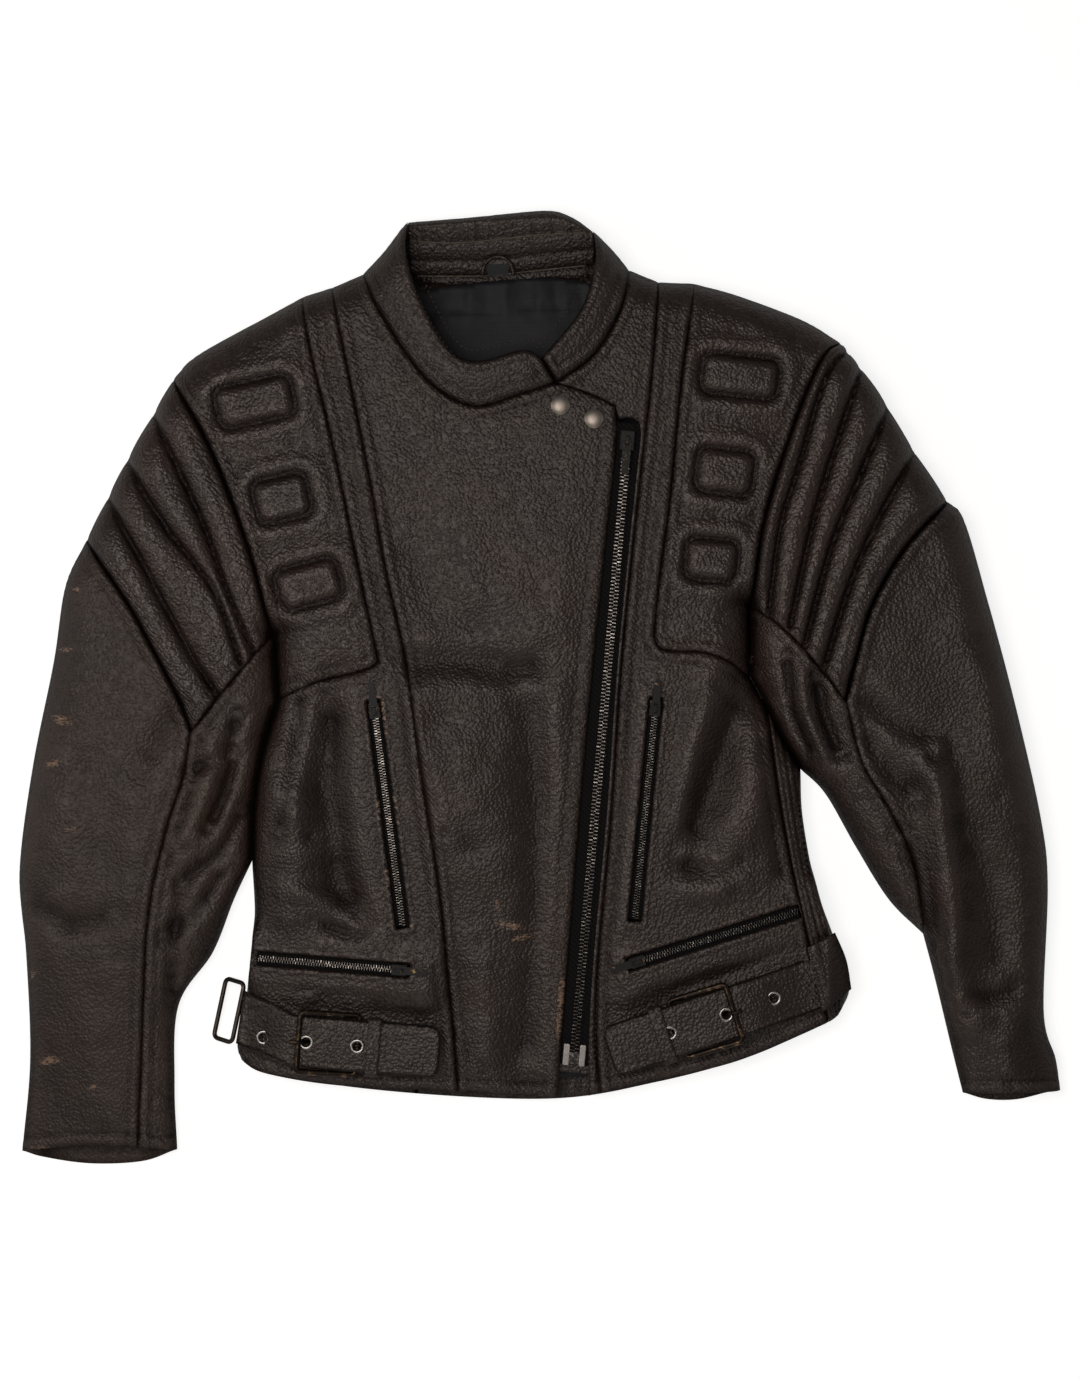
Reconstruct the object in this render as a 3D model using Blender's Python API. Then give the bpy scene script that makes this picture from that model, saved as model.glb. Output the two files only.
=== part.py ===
"""Leather riding jacket, lying flat on its back. Units in this file are millimetres until a mesh is made.

+Z points out of the jacket's front, +Y to the collar, +X to the wearer's left.
Every leather panel is a sheet: its plan outline is put together from shared seam curves,
and its height comes from one smooth shape of the lying jacket.
"""

import math

import bmesh
import bpy
import numpy as np
from mathutils import Matrix, Vector
from mathutils.geometry import delaunay_2d_cdt

for old in list(bpy.data.objects):
    bpy.data.objects.remove(old)

MM = 0.001

# Driving dimensions of the garment
LEATHER = 3.0            # panel with its backing and seam allowances
SEAM_GAP = 0.2           # each panel stops this far from its seam line
RIM_HEIGHT = 16.0        # height of the edge where front and back sheets meet
ROLL_WIDTH = 35.0        # how far in from an edge the front sheet reaches its full height
BACK_ROLL_WIDTH = 26.0
HEIGHT_STATIONS = [-362, -300, -200, -100, 0, 150, 260, 330, 362]
HEIGHT_VALUES = [24, 27, 36, 41, 44, 47, 50, 52, 52]
SEAM_STEP = 13.0         # spacing of the points along a seam
SHEET_STEP = 17.0        # spacing of the points inside a panel
BACK_STEP = 30.0

# Zips: chain width, tape width, slot half width
MAIN_CHAIN = 7.6
POCKET_CHAIN = 5.4
CHAIN_HEIGHT = 2.6
TAPE = 0.8
SLOT_HALF = 6.5
MAIN_CORE = 19.0         # the sheet is flat this far each side of the zip
POCKET_CORE = 12.0
CORE_END = 17.0
CORE_BLEND = 24.0
PADDING = 4.0            # foam under the yokes
PADDING_GAP = 2.2

# Belts
STRAP_HALF = 19.5
STRAP = 2.5
BAR_RADIUS = 1.5
CURL_RADIUS = 3.6
PIVOT_LIFT = 5.0         # bar centre above the leather
TAIL_LIFT = 8.9          # underside of the strap tail above the leather
FRAME_LENGTH = 44.0
FRAME_HALF = 24.5

MATERIALS = {
    "leather": ((0.018, 0.013, 0.011), 0.42, 0.0),
    "lining": ((0.012, 0.012, 0.014), 0.5, 0.0),
    "foam": ((0.05, 0.05, 0.05), 0.9, 0.0),
    "zip": ((0.012, 0.012, 0.013), 0.4, 0.6),
    "slider": ((0.02, 0.02, 0.022), 0.35, 0.8),
    "brass": ((0.16, 0.1, 0.055), 0.4, 1.0),
    "steel": ((0.42, 0.38, 0.34), 0.3, 1.0),
}


def material(slot):
    """One Principled material for each finish."""
    found = bpy.data.materials.get(slot)
    if found:
        return found
    colour, rough, metal = MATERIALS[slot]
    made = bpy.data.materials.new(slot)
    made.use_nodes = True
    shader = made.node_tree.nodes["Principled BSDF"]
    shader.inputs["Base Color"].default_value = (*colour, 1.0)
    shader.inputs["Roughness"].default_value = rough
    shader.inputs["Metallic"].default_value = metal
    return made


def spline(points, step=SEAM_STEP):
    """Smooth curve through a few points, sampled at about the given step."""
    p = np.array(points, float)
    if len(p) == 2:
        count = max(1, round(float(np.linalg.norm(p[1] - p[0])) / step))
        return p[0] + (p[1] - p[0]) * np.linspace(0, 1, count + 1)[:, None]
    ends = np.vstack([2 * p[0] - p[1], p, 2 * p[-1] - p[-2]])
    out = []
    for i in range(len(p) - 1):
        a, b, c, d = ends[i:i + 4]
        for t in np.linspace(0, 1, 12, endpoint=False):
            out.append(0.5 * (2 * b + (c - a) * t + (2 * a - 5 * b + 4 * c - d) * t * t
                              + (3 * b - a - 3 * c + d) * t ** 3))
    out.append(p[-1])
    fine = np.array(out)
    run = np.concatenate([[0], np.cumsum(np.linalg.norm(np.diff(fine, axis=0), axis=1))])
    count = max(2, round(run[-1] / step))
    at = np.linspace(0, run[-1], count + 1)
    return np.column_stack([np.interp(at, run, fine[:, k]) for k in (0, 1)])


def chain_of(*curves):
    """Curves end to end as one closed outline, without doubled corner points."""
    out = []
    for curve in curves:
        for q in curve:
            if not out or np.linalg.norm(np.array(q) - out[-1]) > 0.5:
                out.append(np.array(q, float))
    if np.linalg.norm(out[0] - out[-1]) < 0.5:
        out.pop()
    return np.array(out)


def back(curve):
    return curve[::-1]


def distance(points, curve):
    """Shortest plan distance from each point to a curve."""
    best = np.full(len(points), 1e9)
    for a, b in zip(curve[:-1], curve[1:]):
        d = b - a
        t = np.clip(((points - a) @ d) / max(d @ d, 1e-9), 0, 1)
        best = np.minimum(best, np.linalg.norm(points - a - t[:, None] * d, axis=1))
    return best


# Corner points shared by several seams: r is the wearer's right, l the wearer's left
SHOULDER_R1, SHOULDER_R2 = (-178, 296), (-156, 303)
SHOULDER_L1, SHOULDER_L2 = (117, 306), (90, 307)
NECK_R, NECK_L = (-133, 313), (68, 316)
ARM_R, ARM_L = (-276, 234), (228, 261)
PIT_R, PIT_L = (-200, 40), (159, 62)
YOKE_END_R, YOKE_END_L = (-197, -8), (160, 8)
PART_R, PART_L = (-217, -130), (198, -61)
RIB_R, RIB_L = (-342, 112), (309, 141)
ELBOW_R, ELBOW_L = (-261, -33), (230, -10)
NOTCH = (13, 228)
FLAP_CORNER = (57, 211)
HEM_R0, HEM_R1, HEM_FLAP = (-225, -281), (-61, -303.5), (14, -308)
HEM_ZIP, HEM_L1, HEM_L2, HEM_L3 = (37, -307), (46, -304), (218, -251), (228, -245)
CUFF_R0, CUFF_RS, CUFF_R1 = (-391, -350), (-302, -345.5), (-274, -349)
CUFF_L0, CUFF_L1 = (394.5, -304), (321, -306)
UNDER_END_L = (291, -186)
COLLAR_R, COLLAR_L = (-99, 352), (41, 345)
SIDE_TOP = (172, -14)
YOKE_LOW_R = (-120, 20)
YOKE_LOW_L = (86, 40)

# Seams of the wearer's right
yoke_in_r = spline([SHOULDER_R1, (-171, 255), (-158, 200), (-147, 150), (-138, 105), YOKE_LOW_R])
yoke_low_r = spline([YOKE_LOW_R, (-130, 14), (-165, 5), YOKE_END_R])
armhole_r = spline([ARM_R, (-250, 190), (-230, 143), (-212, 90), PIT_R])
crease_r = spline([PIT_R, YOKE_END_R])
side_crease_r = spline([YOKE_END_R, (-208, -45), (-215, -85), PART_R])
side_r = spline([PART_R, (-215, -175), (-219, -220), (-228, -266), HEM_R0])
arm_inner_r = spline([PART_R, (-231, -160), (-247, -200), (-273, -240), (-276, -300), CUFF_R1])
arm_top_r = spline([ARM_R, (-291, 208), (-311, 173), RIB_R])
arm_outer_r = spline([RIB_R, (-358, 78), (-367, 20), (-383, -60), (-393, -140), (-388, -200),
                      (-385, -280), CUFF_R0])
rib_under_r = spline([PIT_R, (-227, 9), (-243, -10), ELBOW_R])
rib_low_r = spline([RIB_R, (-310, 66), (-290, 30), (-272, -5), ELBOW_R])
arm_seam_r = spline([ELBOW_R, (-266, -65), (-280, -110), (-293, -175), (-299, -280), CUFF_RS])
cuff_top_r = spline([CUFF_R0, (-370, -346.5), (-340, -344.5), CUFF_RS])
cuff_under_r = spline([CUFF_RS, CUFF_R1])
princess_r = spline([SHOULDER_R2, (-140, 225), (-126, 155), (-115, 92), (-99, 16), (-89, -60),
                     (-75, -150), (-66, -240), HEM_R1])
hem_side_r = spline([HEM_R0, (-205, -290), (-150, -299), HEM_R1])
hem_front_r = spline([HEM_R1, HEM_FLAP])
shoulder_r = spline([ARM_R, (-258, 252), (-200, 284), SHOULDER_R1])
strip_r = spline([SHOULDER_R1, SHOULDER_R2])
neck_side_r = spline([SHOULDER_R2, NECK_R])
collar_seam_r = spline([NECK_R, (-118, 280), (-85, 232), (-50, 211), (-15, 219), NOTCH])
collar_edge_r = spline([NECK_R, (-117, 329), (-105, 345), COLLAR_R], 9)
collar_in_r = spline([COLLAR_R, (-99, 325), (-88, 290), (-66, 252), (-45, 244), (-12, 252), (2, 246)])
tab = spline([(2, 246), (8, 236), NOTCH], 6)
flap_top = spline([NOTCH, (35, 221), FLAP_CORNER])
flap_edge = spline([FLAP_CORNER, (57.5, 180), (50, 110), (39, 0), (31, -90), (19, -240), HEM_FLAP])

# Seams of the wearer's left
yoke_in_l = spline([SHOULDER_L1, (106, 225), (99, 150), (90, 80), YOKE_LOW_L])
yoke_low_l = spline([YOKE_LOW_L, (92, 29), (122, 27), (143, 20), YOKE_END_L])
armhole_l = spline([ARM_L, (212, 248), (190, 197), (168, 125), PIT_L])
crease_l = spline([PIT_L, YOKE_END_L])
side_crease_l = spline([YOKE_END_L, SIDE_TOP])
panel_crease_l = spline([SIDE_TOP, (185, -40), PART_L])
side_l = spline([PART_L, (200, -100), (212, -160), (231, -206), (235, -228), HEM_L3])
side_seam_l = spline([SIDE_TOP, (179, -75), (193, -150), (207, -210), HEM_L2])
hem_panel_l = spline([HEM_L2, HEM_L3])
hem_side_l = spline([HEM_L1, (80, -297), (150, -280), HEM_L2])
hem_front_l = spline([HEM_ZIP, HEM_L1])
princess_l = spline([SHOULDER_L2, (84, 230), (73, 130), (62, 20), (54, -100), (45, -200),
                     (43, -260), HEM_L1])
welt_l = spline([(76, 190), (66, 95), (58, 10), (51, -90), (41, -200), (37.5, -260), HEM_ZIP])
zip_head = spline([(76, 190), (74, 199), (66, 202), (59.5, 201), FLAP_CORNER], 8)
arm_inner_l = spline([PART_L, (217, -80), (240, -120), (265, -160), UNDER_END_L])
cuff_inner_l = spline([UNDER_END_L, (300, -220), (312, -270), CUFF_L1])
arm_top_l = spline([ARM_L, (255, 226), (280, 185), RIB_L])
arm_outer_l = spline([RIB_L, (322, 126), (341, 60), (362, -20), (380, -100), (385, -150),
                      (382, -245), (391, -280), CUFF_L0])
rib_under_l = spline([PIT_L, (185, 43), (208, 18), ELBOW_L])
rib_low_l = spline([RIB_L, (275, 105), (250, 62), (238, 22), ELBOW_L])
arm_seam_l = spline([ELBOW_L, (242, -55), (262, -90), (281, -130), UNDER_END_L])
cuff_l = spline([CUFF_L0, CUFF_L1])
shoulder_l = spline([SHOULDER_L1, (150, 297), (200, 278), ARM_L])
strip_l = spline([SHOULDER_L2, SHOULDER_L1])
neck_side_l = spline([NECK_L, SHOULDER_L2])
collar_seam_l = spline([NECK_L, (62, 285), (42, 250), NOTCH])
collar_edge_l = spline([NECK_L, (58, 328), COLLAR_L], 9)
collar_in_l = spline([COLLAR_L, (42, 318), (31, 282), (2, 246)])
collar_top = spline([COLLAR_R, (-50, 356), (5, 361), (25, 356), COLLAR_L])

EDGES = [shoulder_r, strip_r, neck_side_r, collar_edge_r, collar_top, collar_edge_l, neck_side_l,
         strip_l, shoulder_l, arm_top_r, arm_outer_r, arm_inner_r, side_r, side_crease_r, crease_r,
         arm_top_l, arm_outer_l, arm_inner_l, cuff_inner_l, side_l, panel_crease_l, side_crease_l,
         crease_l]


class Zip:
    """A zip's straight line: head is where its slider rests, tail the far end."""

    def __init__(self, name, head, tail, chain, core, lift=(0.0, 0.0), tail_end=CORE_END, tail_fall=1.0):
        self.name = name
        self.lift = np.array(lift)
        self.tail_end = tail_end
        self.tail_fall = tail_fall
        self.head = np.array(head, float)
        self.tail = np.array(tail, float)
        self.chain = chain
        self.core = core
        self.length = float(np.linalg.norm(self.tail - self.head))
        self.along = (self.tail - self.head) / self.length
        self.head_z = 0.0
        self.tail_z = 0.0

    def plane(self, points):
        t = (points - self.head) @ self.along / self.length
        return self.head_z + (self.tail_z - self.head_z) * t

    def away(self, points):
        """Distance beyond the flat band, which runs a little past both ends."""
        t = (points - self.head) @ self.along
        side = np.abs((points - self.head) @ np.array([-self.along[1], self.along[0]]))
        past_tail = (t - self.length - self.tail_end) * self.tail_fall
        past = np.maximum(np.maximum(-t - CORE_END, past_tail), 0)
        return np.hypot(past, np.maximum(side - self.core, 0))


main = Zip("main", (66, 185), (27, -270), MAIN_CHAIN, MAIN_CORE)
chest_r = Zip("chest_right", (-123, -17), (-103, -172), POCKET_CHAIN, POCKET_CORE)
hand_r = Zip("hand_right", (-105, -211), (-206, -203), POCKET_CHAIN, POCKET_CORE, (4.0, 8.0), 9.0, 3.0)
chest_l = Zip("chest_left", (87, -15), (72.5, -167), POCKET_CHAIN, POCKET_CORE)
hand_l = Zip("hand_left", (74, -205), (188, -169), POCKET_CHAIN, POCKET_CORE, (1.0, 2.5))
ZIPS = [main, chest_r, hand_r, chest_l, hand_l]


def lying(points):
    """Height of the jacket's front as it lies, before the zips straighten it."""
    edge = np.full(len(points), 1e9)
    for curve in EDGES:
        edge = np.minimum(edge, distance(points, curve))
    full = np.interp(points[:, 1], HEIGHT_STATIONS, HEIGHT_VALUES)
    roll = np.sin(np.clip(edge / ROLL_WIDTH, 0, 1) * math.pi / 2)
    return RIM_HEIGHT + (full - RIM_HEIGHT) * roll


for z in ZIPS:
    z.head_z, z.tail_z = lying(np.array([z.head, z.tail])) + z.lift


def front(points):
    """Height of the front's outer face, flat along every zip."""
    points = np.atleast_2d(points)
    height = lying(points)
    away = [z.away(points) for z in ZIPS]
    total = np.zeros(len(points))
    added = np.zeros(len(points))
    for i, z in enumerate(ZIPS):
        near = np.clip(1 - away[i] / CORE_BLEND, 0, 1)
        near = near * near * (3 - 2 * near)
        for j in range(len(ZIPS)):
            if j != i:
                near = near * np.clip(away[j] / 2.0, 0, 1)
        total += near
        added += near * z.plane(points)
    rest = np.clip(1 - total, 0, 1)
    return (added + rest * height) / (total + rest)


def collar(points):
    """The stand collar rises from its seam to its free edge."""
    base = np.minimum(distance(points, collar_seam_r), distance(points, collar_seam_l))
    return front(points) + 7 * np.clip(base / 30, 0, 1)


def collar_back(points):
    """Inner face of the collar's back, leaning from the neck seam up to its top edge."""
    return 12 + (np.clip(points[:, 1], 310, 352) - 310) * 0.52


def rear(points):
    """Top of the back sheet: flat on the ground, lifted to the rim along the edges."""
    edge = np.full(len(points), 1e9)
    for curve in EDGES:
        edge = np.minimum(edge, distance(points, curve))
    lift = RIM_HEIGHT - LEATHER - 0.5 - LEATHER
    roll = np.clip(1 - edge / BACK_ROLL_WIDTH, 0, 1)
    return LEATHER + lift * roll * roll


def inside(points, outline):
    """Which points are inside a closed outline."""
    x, y = points[:, 0], points[:, 1]
    odd = np.zeros(len(points), bool)
    for (x0, y0), (x1, y1) in zip(outline, np.roll(outline, -1, axis=0)):
        if y0 == y1:
            continue
        crosses = (y0 > y) != (y1 > y)
        odd ^= crosses & (x < (x1 - x0) * (y - y0) / (y1 - y0) + x0)
    return odd


def inset(outline, by):
    """The outline moved inwards by a small distance."""
    area = np.sum(outline[:, 0] * np.roll(outline[:, 1], -1) - np.roll(outline[:, 0], -1) * outline[:, 1])
    if area < 0:
        outline = outline[::-1]
    before = outline - np.roll(outline, 1, axis=0)
    after = np.roll(outline, -1, axis=0) - outline
    n0 = np.column_stack([-before[:, 1], before[:, 0]]) / np.linalg.norm(before, axis=1)[:, None]
    n1 = np.column_stack([-after[:, 1], after[:, 0]]) / np.linalg.norm(after, axis=1)[:, None]
    mid = n0 + n1
    size = np.maximum((mid * n0).sum(1), 0.35)
    return outline + by * mid / size[:, None]


def finish_object(name, mesh, slot):
    mesh.materials.append(material(slot))
    made = bpy.data.objects.new(name, mesh)
    bpy.context.collection.objects.link(made)
    return made


def solid(name, verts, faces, slot):
    """A mesh object from points in millimetres."""
    mesh = bpy.data.meshes.new(name)
    mesh.from_pydata([tuple(float(c) * MM for c in v) for v in verts], [], faces)
    mesh.validate()
    return finish_object(name, mesh, slot)


def sheet(name, outline, top, thick, slot="leather", step=SHEET_STEP, holes=(), rows=(), place=None):
    """A closed sheet over a plan outline; top gives its height, place puts a flat one anywhere."""
    rim = inset(outline, SEAM_GAP)
    loops = [rim] + [np.array(h, float) for h in holes]
    points = [tuple(p) for loop in loops for p in loop]
    edges = []
    start = 0
    for loop in loops:
        edges += [(start + i, start + (i + 1) % len(loop)) for i in range(len(loop))]
        start += len(loop)
    low, high = rim.min(0), rim.max(0)
    grid = []
    for j in range(int((high[1] - low[1]) / (step * 0.866)) + 1):
        y = low[1] + j * step * 0.866
        columns = int((high[0] - low[0]) / step) + 2
        grid += [(low[0] + (i + 0.5 * (j % 2)) * step, y) for i in range(columns)]
    for row in rows:
        grid += [tuple(p) for p in row]
    grid = np.array(grid)
    keep = inside(grid, rim)
    for loop in loops:
        keep &= distance(grid, np.vstack([loop, loop[:1]])) > min(0.45 * step, 4.0)
    for loop in loops[1:]:
        keep &= ~inside(grid, loop)
    fixed = sum(len(r) for r in rows)
    grid_part, row_part = grid[:len(grid) - fixed], grid[len(grid) - fixed:]
    grid_keep, row_keep = keep[:len(grid_part)], keep[len(grid_part):]
    rows_in = row_part[row_keep]
    if len(rows_in):
        gap = np.array([np.min(np.linalg.norm(rows_in - p, axis=1)) for p in grid_part])
        grid_keep = grid_keep & (gap > 0.5 * step)
    points += [tuple(p) for p in rows_in] + [tuple(p) for p in grid_part[grid_keep]]
    verts, _, faces, *_ = delaunay_2d_cdt([Vector(p) for p in points], edges, [], 0, 1e-5)
    flat = np.array([(v.x, v.y) for v in verts])
    middle = np.array([flat[list(f)].mean(0) for f in faces])
    wanted = inside(middle, rim)
    for loop in loops[1:]:
        wanted &= ~inside(middle, loop)
    faces = [tuple(f) for f, w in zip(faces, wanted) if w]
    used = sorted({i for f in faces for i in f})
    index = {old: new for new, old in enumerate(used)}
    flat = flat[used]
    faces = [tuple(index[i] for i in f) for f in faces]
    upper = top(flat) if callable(top) else np.full(len(flat), float(top))
    n = len(flat)
    verts = [(x, y, h) for (x, y), h in zip(flat, upper)]
    verts += [(x, y, h - thick) for (x, y), h in zip(flat, upper)]
    if place:
        verts = [place(v) for v in verts]
    sides = {}
    for f in faces:
        for a, b in zip(f, f[1:] + f[:1]):
            sides[(a, b)] = True
    walls = [(b, a, a + n, b + n) for a, b in sides if (b, a) not in sides]
    under = [tuple(i + n for i in reversed(f)) for f in faces]
    return solid(name, verts, faces + under + walls, slot)


def slot_hole(zip_line, half=SLOT_HALF, past=8.0):
    """Outline of the slot that a pocket zip shows through."""
    across = np.array([-zip_line.along[1], zip_line.along[0]])
    a = zip_line.head - past * zip_line.along
    b = zip_line.tail + past * zip_line.along
    count = round(np.linalg.norm(b - a) / SHEET_STEP)
    side = [a + (b - a) * k / count for k in range(count + 1)]
    return [p + half * across for p in side] + [p - half * across for p in reversed(side)]


def core_rows(zip_line):
    """Rows of points that keep the sheet flat beside a zip."""
    across = np.array([-zip_line.along[1], zip_line.along[0]])
    rows = []
    reach = zip_line.core - 0.2
    a = zip_line.head - (CORE_END - 2) * zip_line.along
    b = zip_line.tail + (CORE_END - 2) * zip_line.along
    count = round(np.linalg.norm(b - a) / SHEET_STEP)
    for side in (-reach, reach):
        rows.append([a + (b - a) * k / count + side * across for k in range(count + 1)])
    rows.append([a, b])
    return rows


# Front of the body
sheet("front_right", chain_of(neck_side_r, collar_seam_r, flap_top, flap_edge, back(hem_front_r),
                              back(princess_r)), front, LEATHER, rows=core_rows(main))
sheet("front_left", chain_of(neck_side_l, princess_l, back(hem_front_l), back(welt_l), zip_head,
                             back(flap_top), back(collar_seam_l)), front, LEATHER)
sheet("side_front_right", chain_of(strip_r, princess_r, back(hem_side_r), back(side_r),
                                   back(side_crease_r), back(yoke_low_r), back(yoke_in_r)),
      front, LEATHER, holes=[slot_hole(chest_r), slot_hole(hand_r)],
      rows=core_rows(chest_r) + core_rows(hand_r))
sheet("side_front_left", chain_of(strip_l, yoke_in_l, yoke_low_l, side_crease_l, side_seam_l,
                                  back(hem_side_l), back(princess_l)),
      front, LEATHER, holes=[slot_hole(chest_l), slot_hole(hand_l)],
      rows=core_rows(chest_l) + core_rows(hand_l) + core_rows(main))
sheet("yoke_right", chain_of(shoulder_r, yoke_in_r, yoke_low_r, back(crease_r), back(armhole_r)),
      front, LEATHER)
sheet("yoke_left", chain_of(shoulder_l, armhole_l, crease_l, back(yoke_low_l), back(yoke_in_l)),
      front, LEATHER)
sheet("side_panel_left", chain_of(panel_crease_l, side_l, back(hem_panel_l), back(side_seam_l)),
      front, LEATHER)

# Sleeves
sheet("sleeve_rib_right", chain_of(arm_top_r, rib_low_r, back(rib_under_r), back(armhole_r)),
      front, LEATHER)
sheet("sleeve_top_right", chain_of(arm_outer_r, cuff_top_r, back(arm_seam_r), back(rib_low_r)),
      front, LEATHER)
sheet("sleeve_under_right", chain_of(rib_under_r, arm_seam_r, cuff_under_r, back(arm_inner_r),
                                     back(side_crease_r), back(crease_r)), front, LEATHER)
sheet("sleeve_rib_left", chain_of(arm_top_l, rib_low_l, back(rib_under_l), back(armhole_l)), front, LEATHER)
sheet("sleeve_top_left", chain_of(arm_outer_l, cuff_l, back(cuff_inner_l), back(arm_seam_l),
                                  back(rib_low_l)), front, LEATHER)
sheet("sleeve_under_left", chain_of(rib_under_l, arm_seam_l, back(arm_inner_l), back(panel_crease_l),
                                    back(side_crease_l), back(crease_l)), front, LEATHER)

# Back of the body and of the sleeves; their hems reach a little past the front's
back_hem = spline([HEM_R0, (-150, -302), (0, -312), (90, -299), (170, -276), HEM_L3])
back_neck = spline([NECK_R, (-40, 306), NECK_L])
back_cuff_r = spline([CUFF_R0, (-376, -356), (-340, -361), (-300, -359), CUFF_R1])
back_cuff_l = spline([CUFF_L0, (365, -312), (340, -312), CUFF_L1])
sheet("back_panel", chain_of(shoulder_r, strip_r, neck_side_r, back_neck, neck_side_l, strip_l, shoulder_l,
                             armhole_l, crease_l, side_crease_l, panel_crease_l, side_l, back(back_hem),
                             back(side_r), back(side_crease_r), back(crease_r), back(armhole_r)),
      rear, LEATHER, step=BACK_STEP)
sheet("sleeve_back_right", chain_of(arm_top_r, arm_outer_r, back_cuff_r, back(arm_inner_r),
                                    back(side_crease_r), back(crease_r), back(armhole_r)),
      rear, LEATHER, step=BACK_STEP)
sheet("sleeve_back_left", chain_of(arm_top_l, arm_outer_l, back_cuff_l, back(cuff_inner_l),
                                   back(arm_inner_l), back(panel_crease_l), back(side_crease_l),
                                   back(crease_l), back(armhole_l)), rear, LEATHER, step=BACK_STEP)

# Collar
sheet("collar_band_right", chain_of(collar_edge_r, collar_in_r, tab, back(collar_seam_r)), collar, LEATHER)
sheet("collar_band_left", chain_of(collar_edge_l, collar_in_l, tab, back(collar_seam_l)), collar, LEATHER)
collar_foot = spline([(-98.5, 311), (-45, 311), (-10, 314), (41.5, 319)])
collar_left_side = spline([(41.5, 319), (42.2, 333), COLLAR_L])
collar_right_side = spline([COLLAR_R, (-98.5, 330), (-98.5, 311)])
sheet("collar_back_inner", inset(chain_of(collar_top, back(collar_left_side), back(collar_foot),
                                          back(collar_right_side)), 0.6), collar_back, LEATHER, step=13)
sheet("collar_back_outer", chain_of(collar_edge_r, collar_top, back(collar_edge_l), back(back_neck)),
      rear, LEATHER, step=BACK_STEP)

# Inside
lining_outline = spline([(-128, 295), (-60, 300), (30, 303), (110, 275), (180, 245), (150, 170), (126, 60),
                         (128, -20), (165, -90), (180, -180), (196, -232), (90, -282), (0, -296),
                         (-110, -290), (-188, -256), (-184, -120), (-166, 0), (-168, 70), (-215, 170), (-222, 222),
                         (-170, 262), (-128, 295)], 26)[:-1]
sheet("lining_back", lining_outline, LEATHER + 3.6, 1.0, "lining", step=32)

PADDING_R = [(-182, 265), (-235, 228), (-198, 120), (-168, 42), (-142, 42), (-160, 130), (-176, 220)]
PADDING_L = [(126, 268), (180, 252), (186, 225), (144, 112), (126, 62), (104, 52), (112, 130), (118, 210)]
for side, outline in (("right", PADDING_R), ("left", PADDING_L)):
    sheet(f"yoke_padding_{side}", np.array(outline, float), lambda p: front(p) - LEATHER - PADDING_GAP,
          PADDING, "foam", step=22)


def bag_outline(zip_line, side, depth):
    """A pocket bag hangs from its zip to one side."""
    across = np.array([-zip_line.along[1], zip_line.along[0]]) * side
    a, b = zip_line.head, zip_line.tail
    return spline([a - 9 * across, b - 9 * across, b + 0.6 * depth * across, (a + b) / 2 + depth * across,
                   a + 0.6 * depth * across, a - 9 * across], 18)[:-1]


for zip_line, side, depth in ((chest_r, -1, 46), (hand_r, 1, 50), (chest_l, 1, 46), (hand_l, -1, 50)):
    sheet(f"pocket_bag_{zip_line.name}", bag_outline(zip_line, side, depth),
          lambda p: front(p) - LEATHER - 4.5, 1.6, "lining", step=22)


def frame_of(origin, along, height, far_height, length):
    """A function that puts local (u, v, n) points on a straight, tilted line of the jacket."""
    u = Vector((along[0] * length, along[1] * length, far_height - height)).normalized()
    v = Vector((-along[1], along[0], 0.0))
    n = u.cross(v)
    base = Vector((origin[0], origin[1], height))
    return lambda p: tuple(base + u * p[0] + v * p[1] + n * p[2])


def extrude(name, profile, start, end, place, slot, plane="vn"):
    """A profile pushed along its third local axis; plane names the profile's two axes."""
    n = len(profile)
    area = sum(a[0] * b[1] - b[0] * a[1] for a, b in zip(profile, profile[1:] + profile[:1]))
    ring = profile if area > 0 else profile[::-1]
    if plane == "vn":
        verts = [place((t, a, b)) for t in (start, end) for a, b in ring]
        flip = False
    else:
        verts = [place((a, t, b)) for t in (start, end) for a, b in ring]
        flip = True
    faces = [tuple(reversed(range(n))), tuple(range(n, 2 * n))]
    faces += [(i, (i + 1) % n, n + (i + 1) % n, n + i) for i in range(n)]
    if flip:
        faces = [tuple(reversed(f)) for f in faces]
    return solid(name, verts, faces, slot)


def place_zip(zip_line):
    return frame_of(zip_line.head, zip_line.along, zip_line.head_z, zip_line.tail_z, zip_line.length)


def boolean(target, other, operation):
    """Joins or cuts with another object, which then goes."""
    step = target.modifiers.new(operation, "BOOLEAN")
    step.operation = operation
    step.solver = "EXACT"
    step.object = other
    graph = bpy.context.evaluated_depsgraph_get()
    made = bpy.data.meshes.new_from_object(target.evaluated_get(graph))
    target.modifiers.clear()
    old = target.data
    target.data = made
    bpy.data.meshes.remove(old)
    bpy.data.objects.remove(other)


def set_origin(made, at):
    """Moves an object's origin to a point given in millimetres."""
    shift = Vector(at) * MM
    made.data.transform(Matrix.Translation(-shift))
    made.location = shift


TAPE_TOP = -LEATHER - 0.6
CHAIN_TOP = TAPE_TOP + CHAIN_HEIGHT
SLIDER_TOP = CHAIN_TOP + 0.4 + 1.2
PIVOT_RISE = 1.4
PULL_THICK = 1.3


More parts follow.
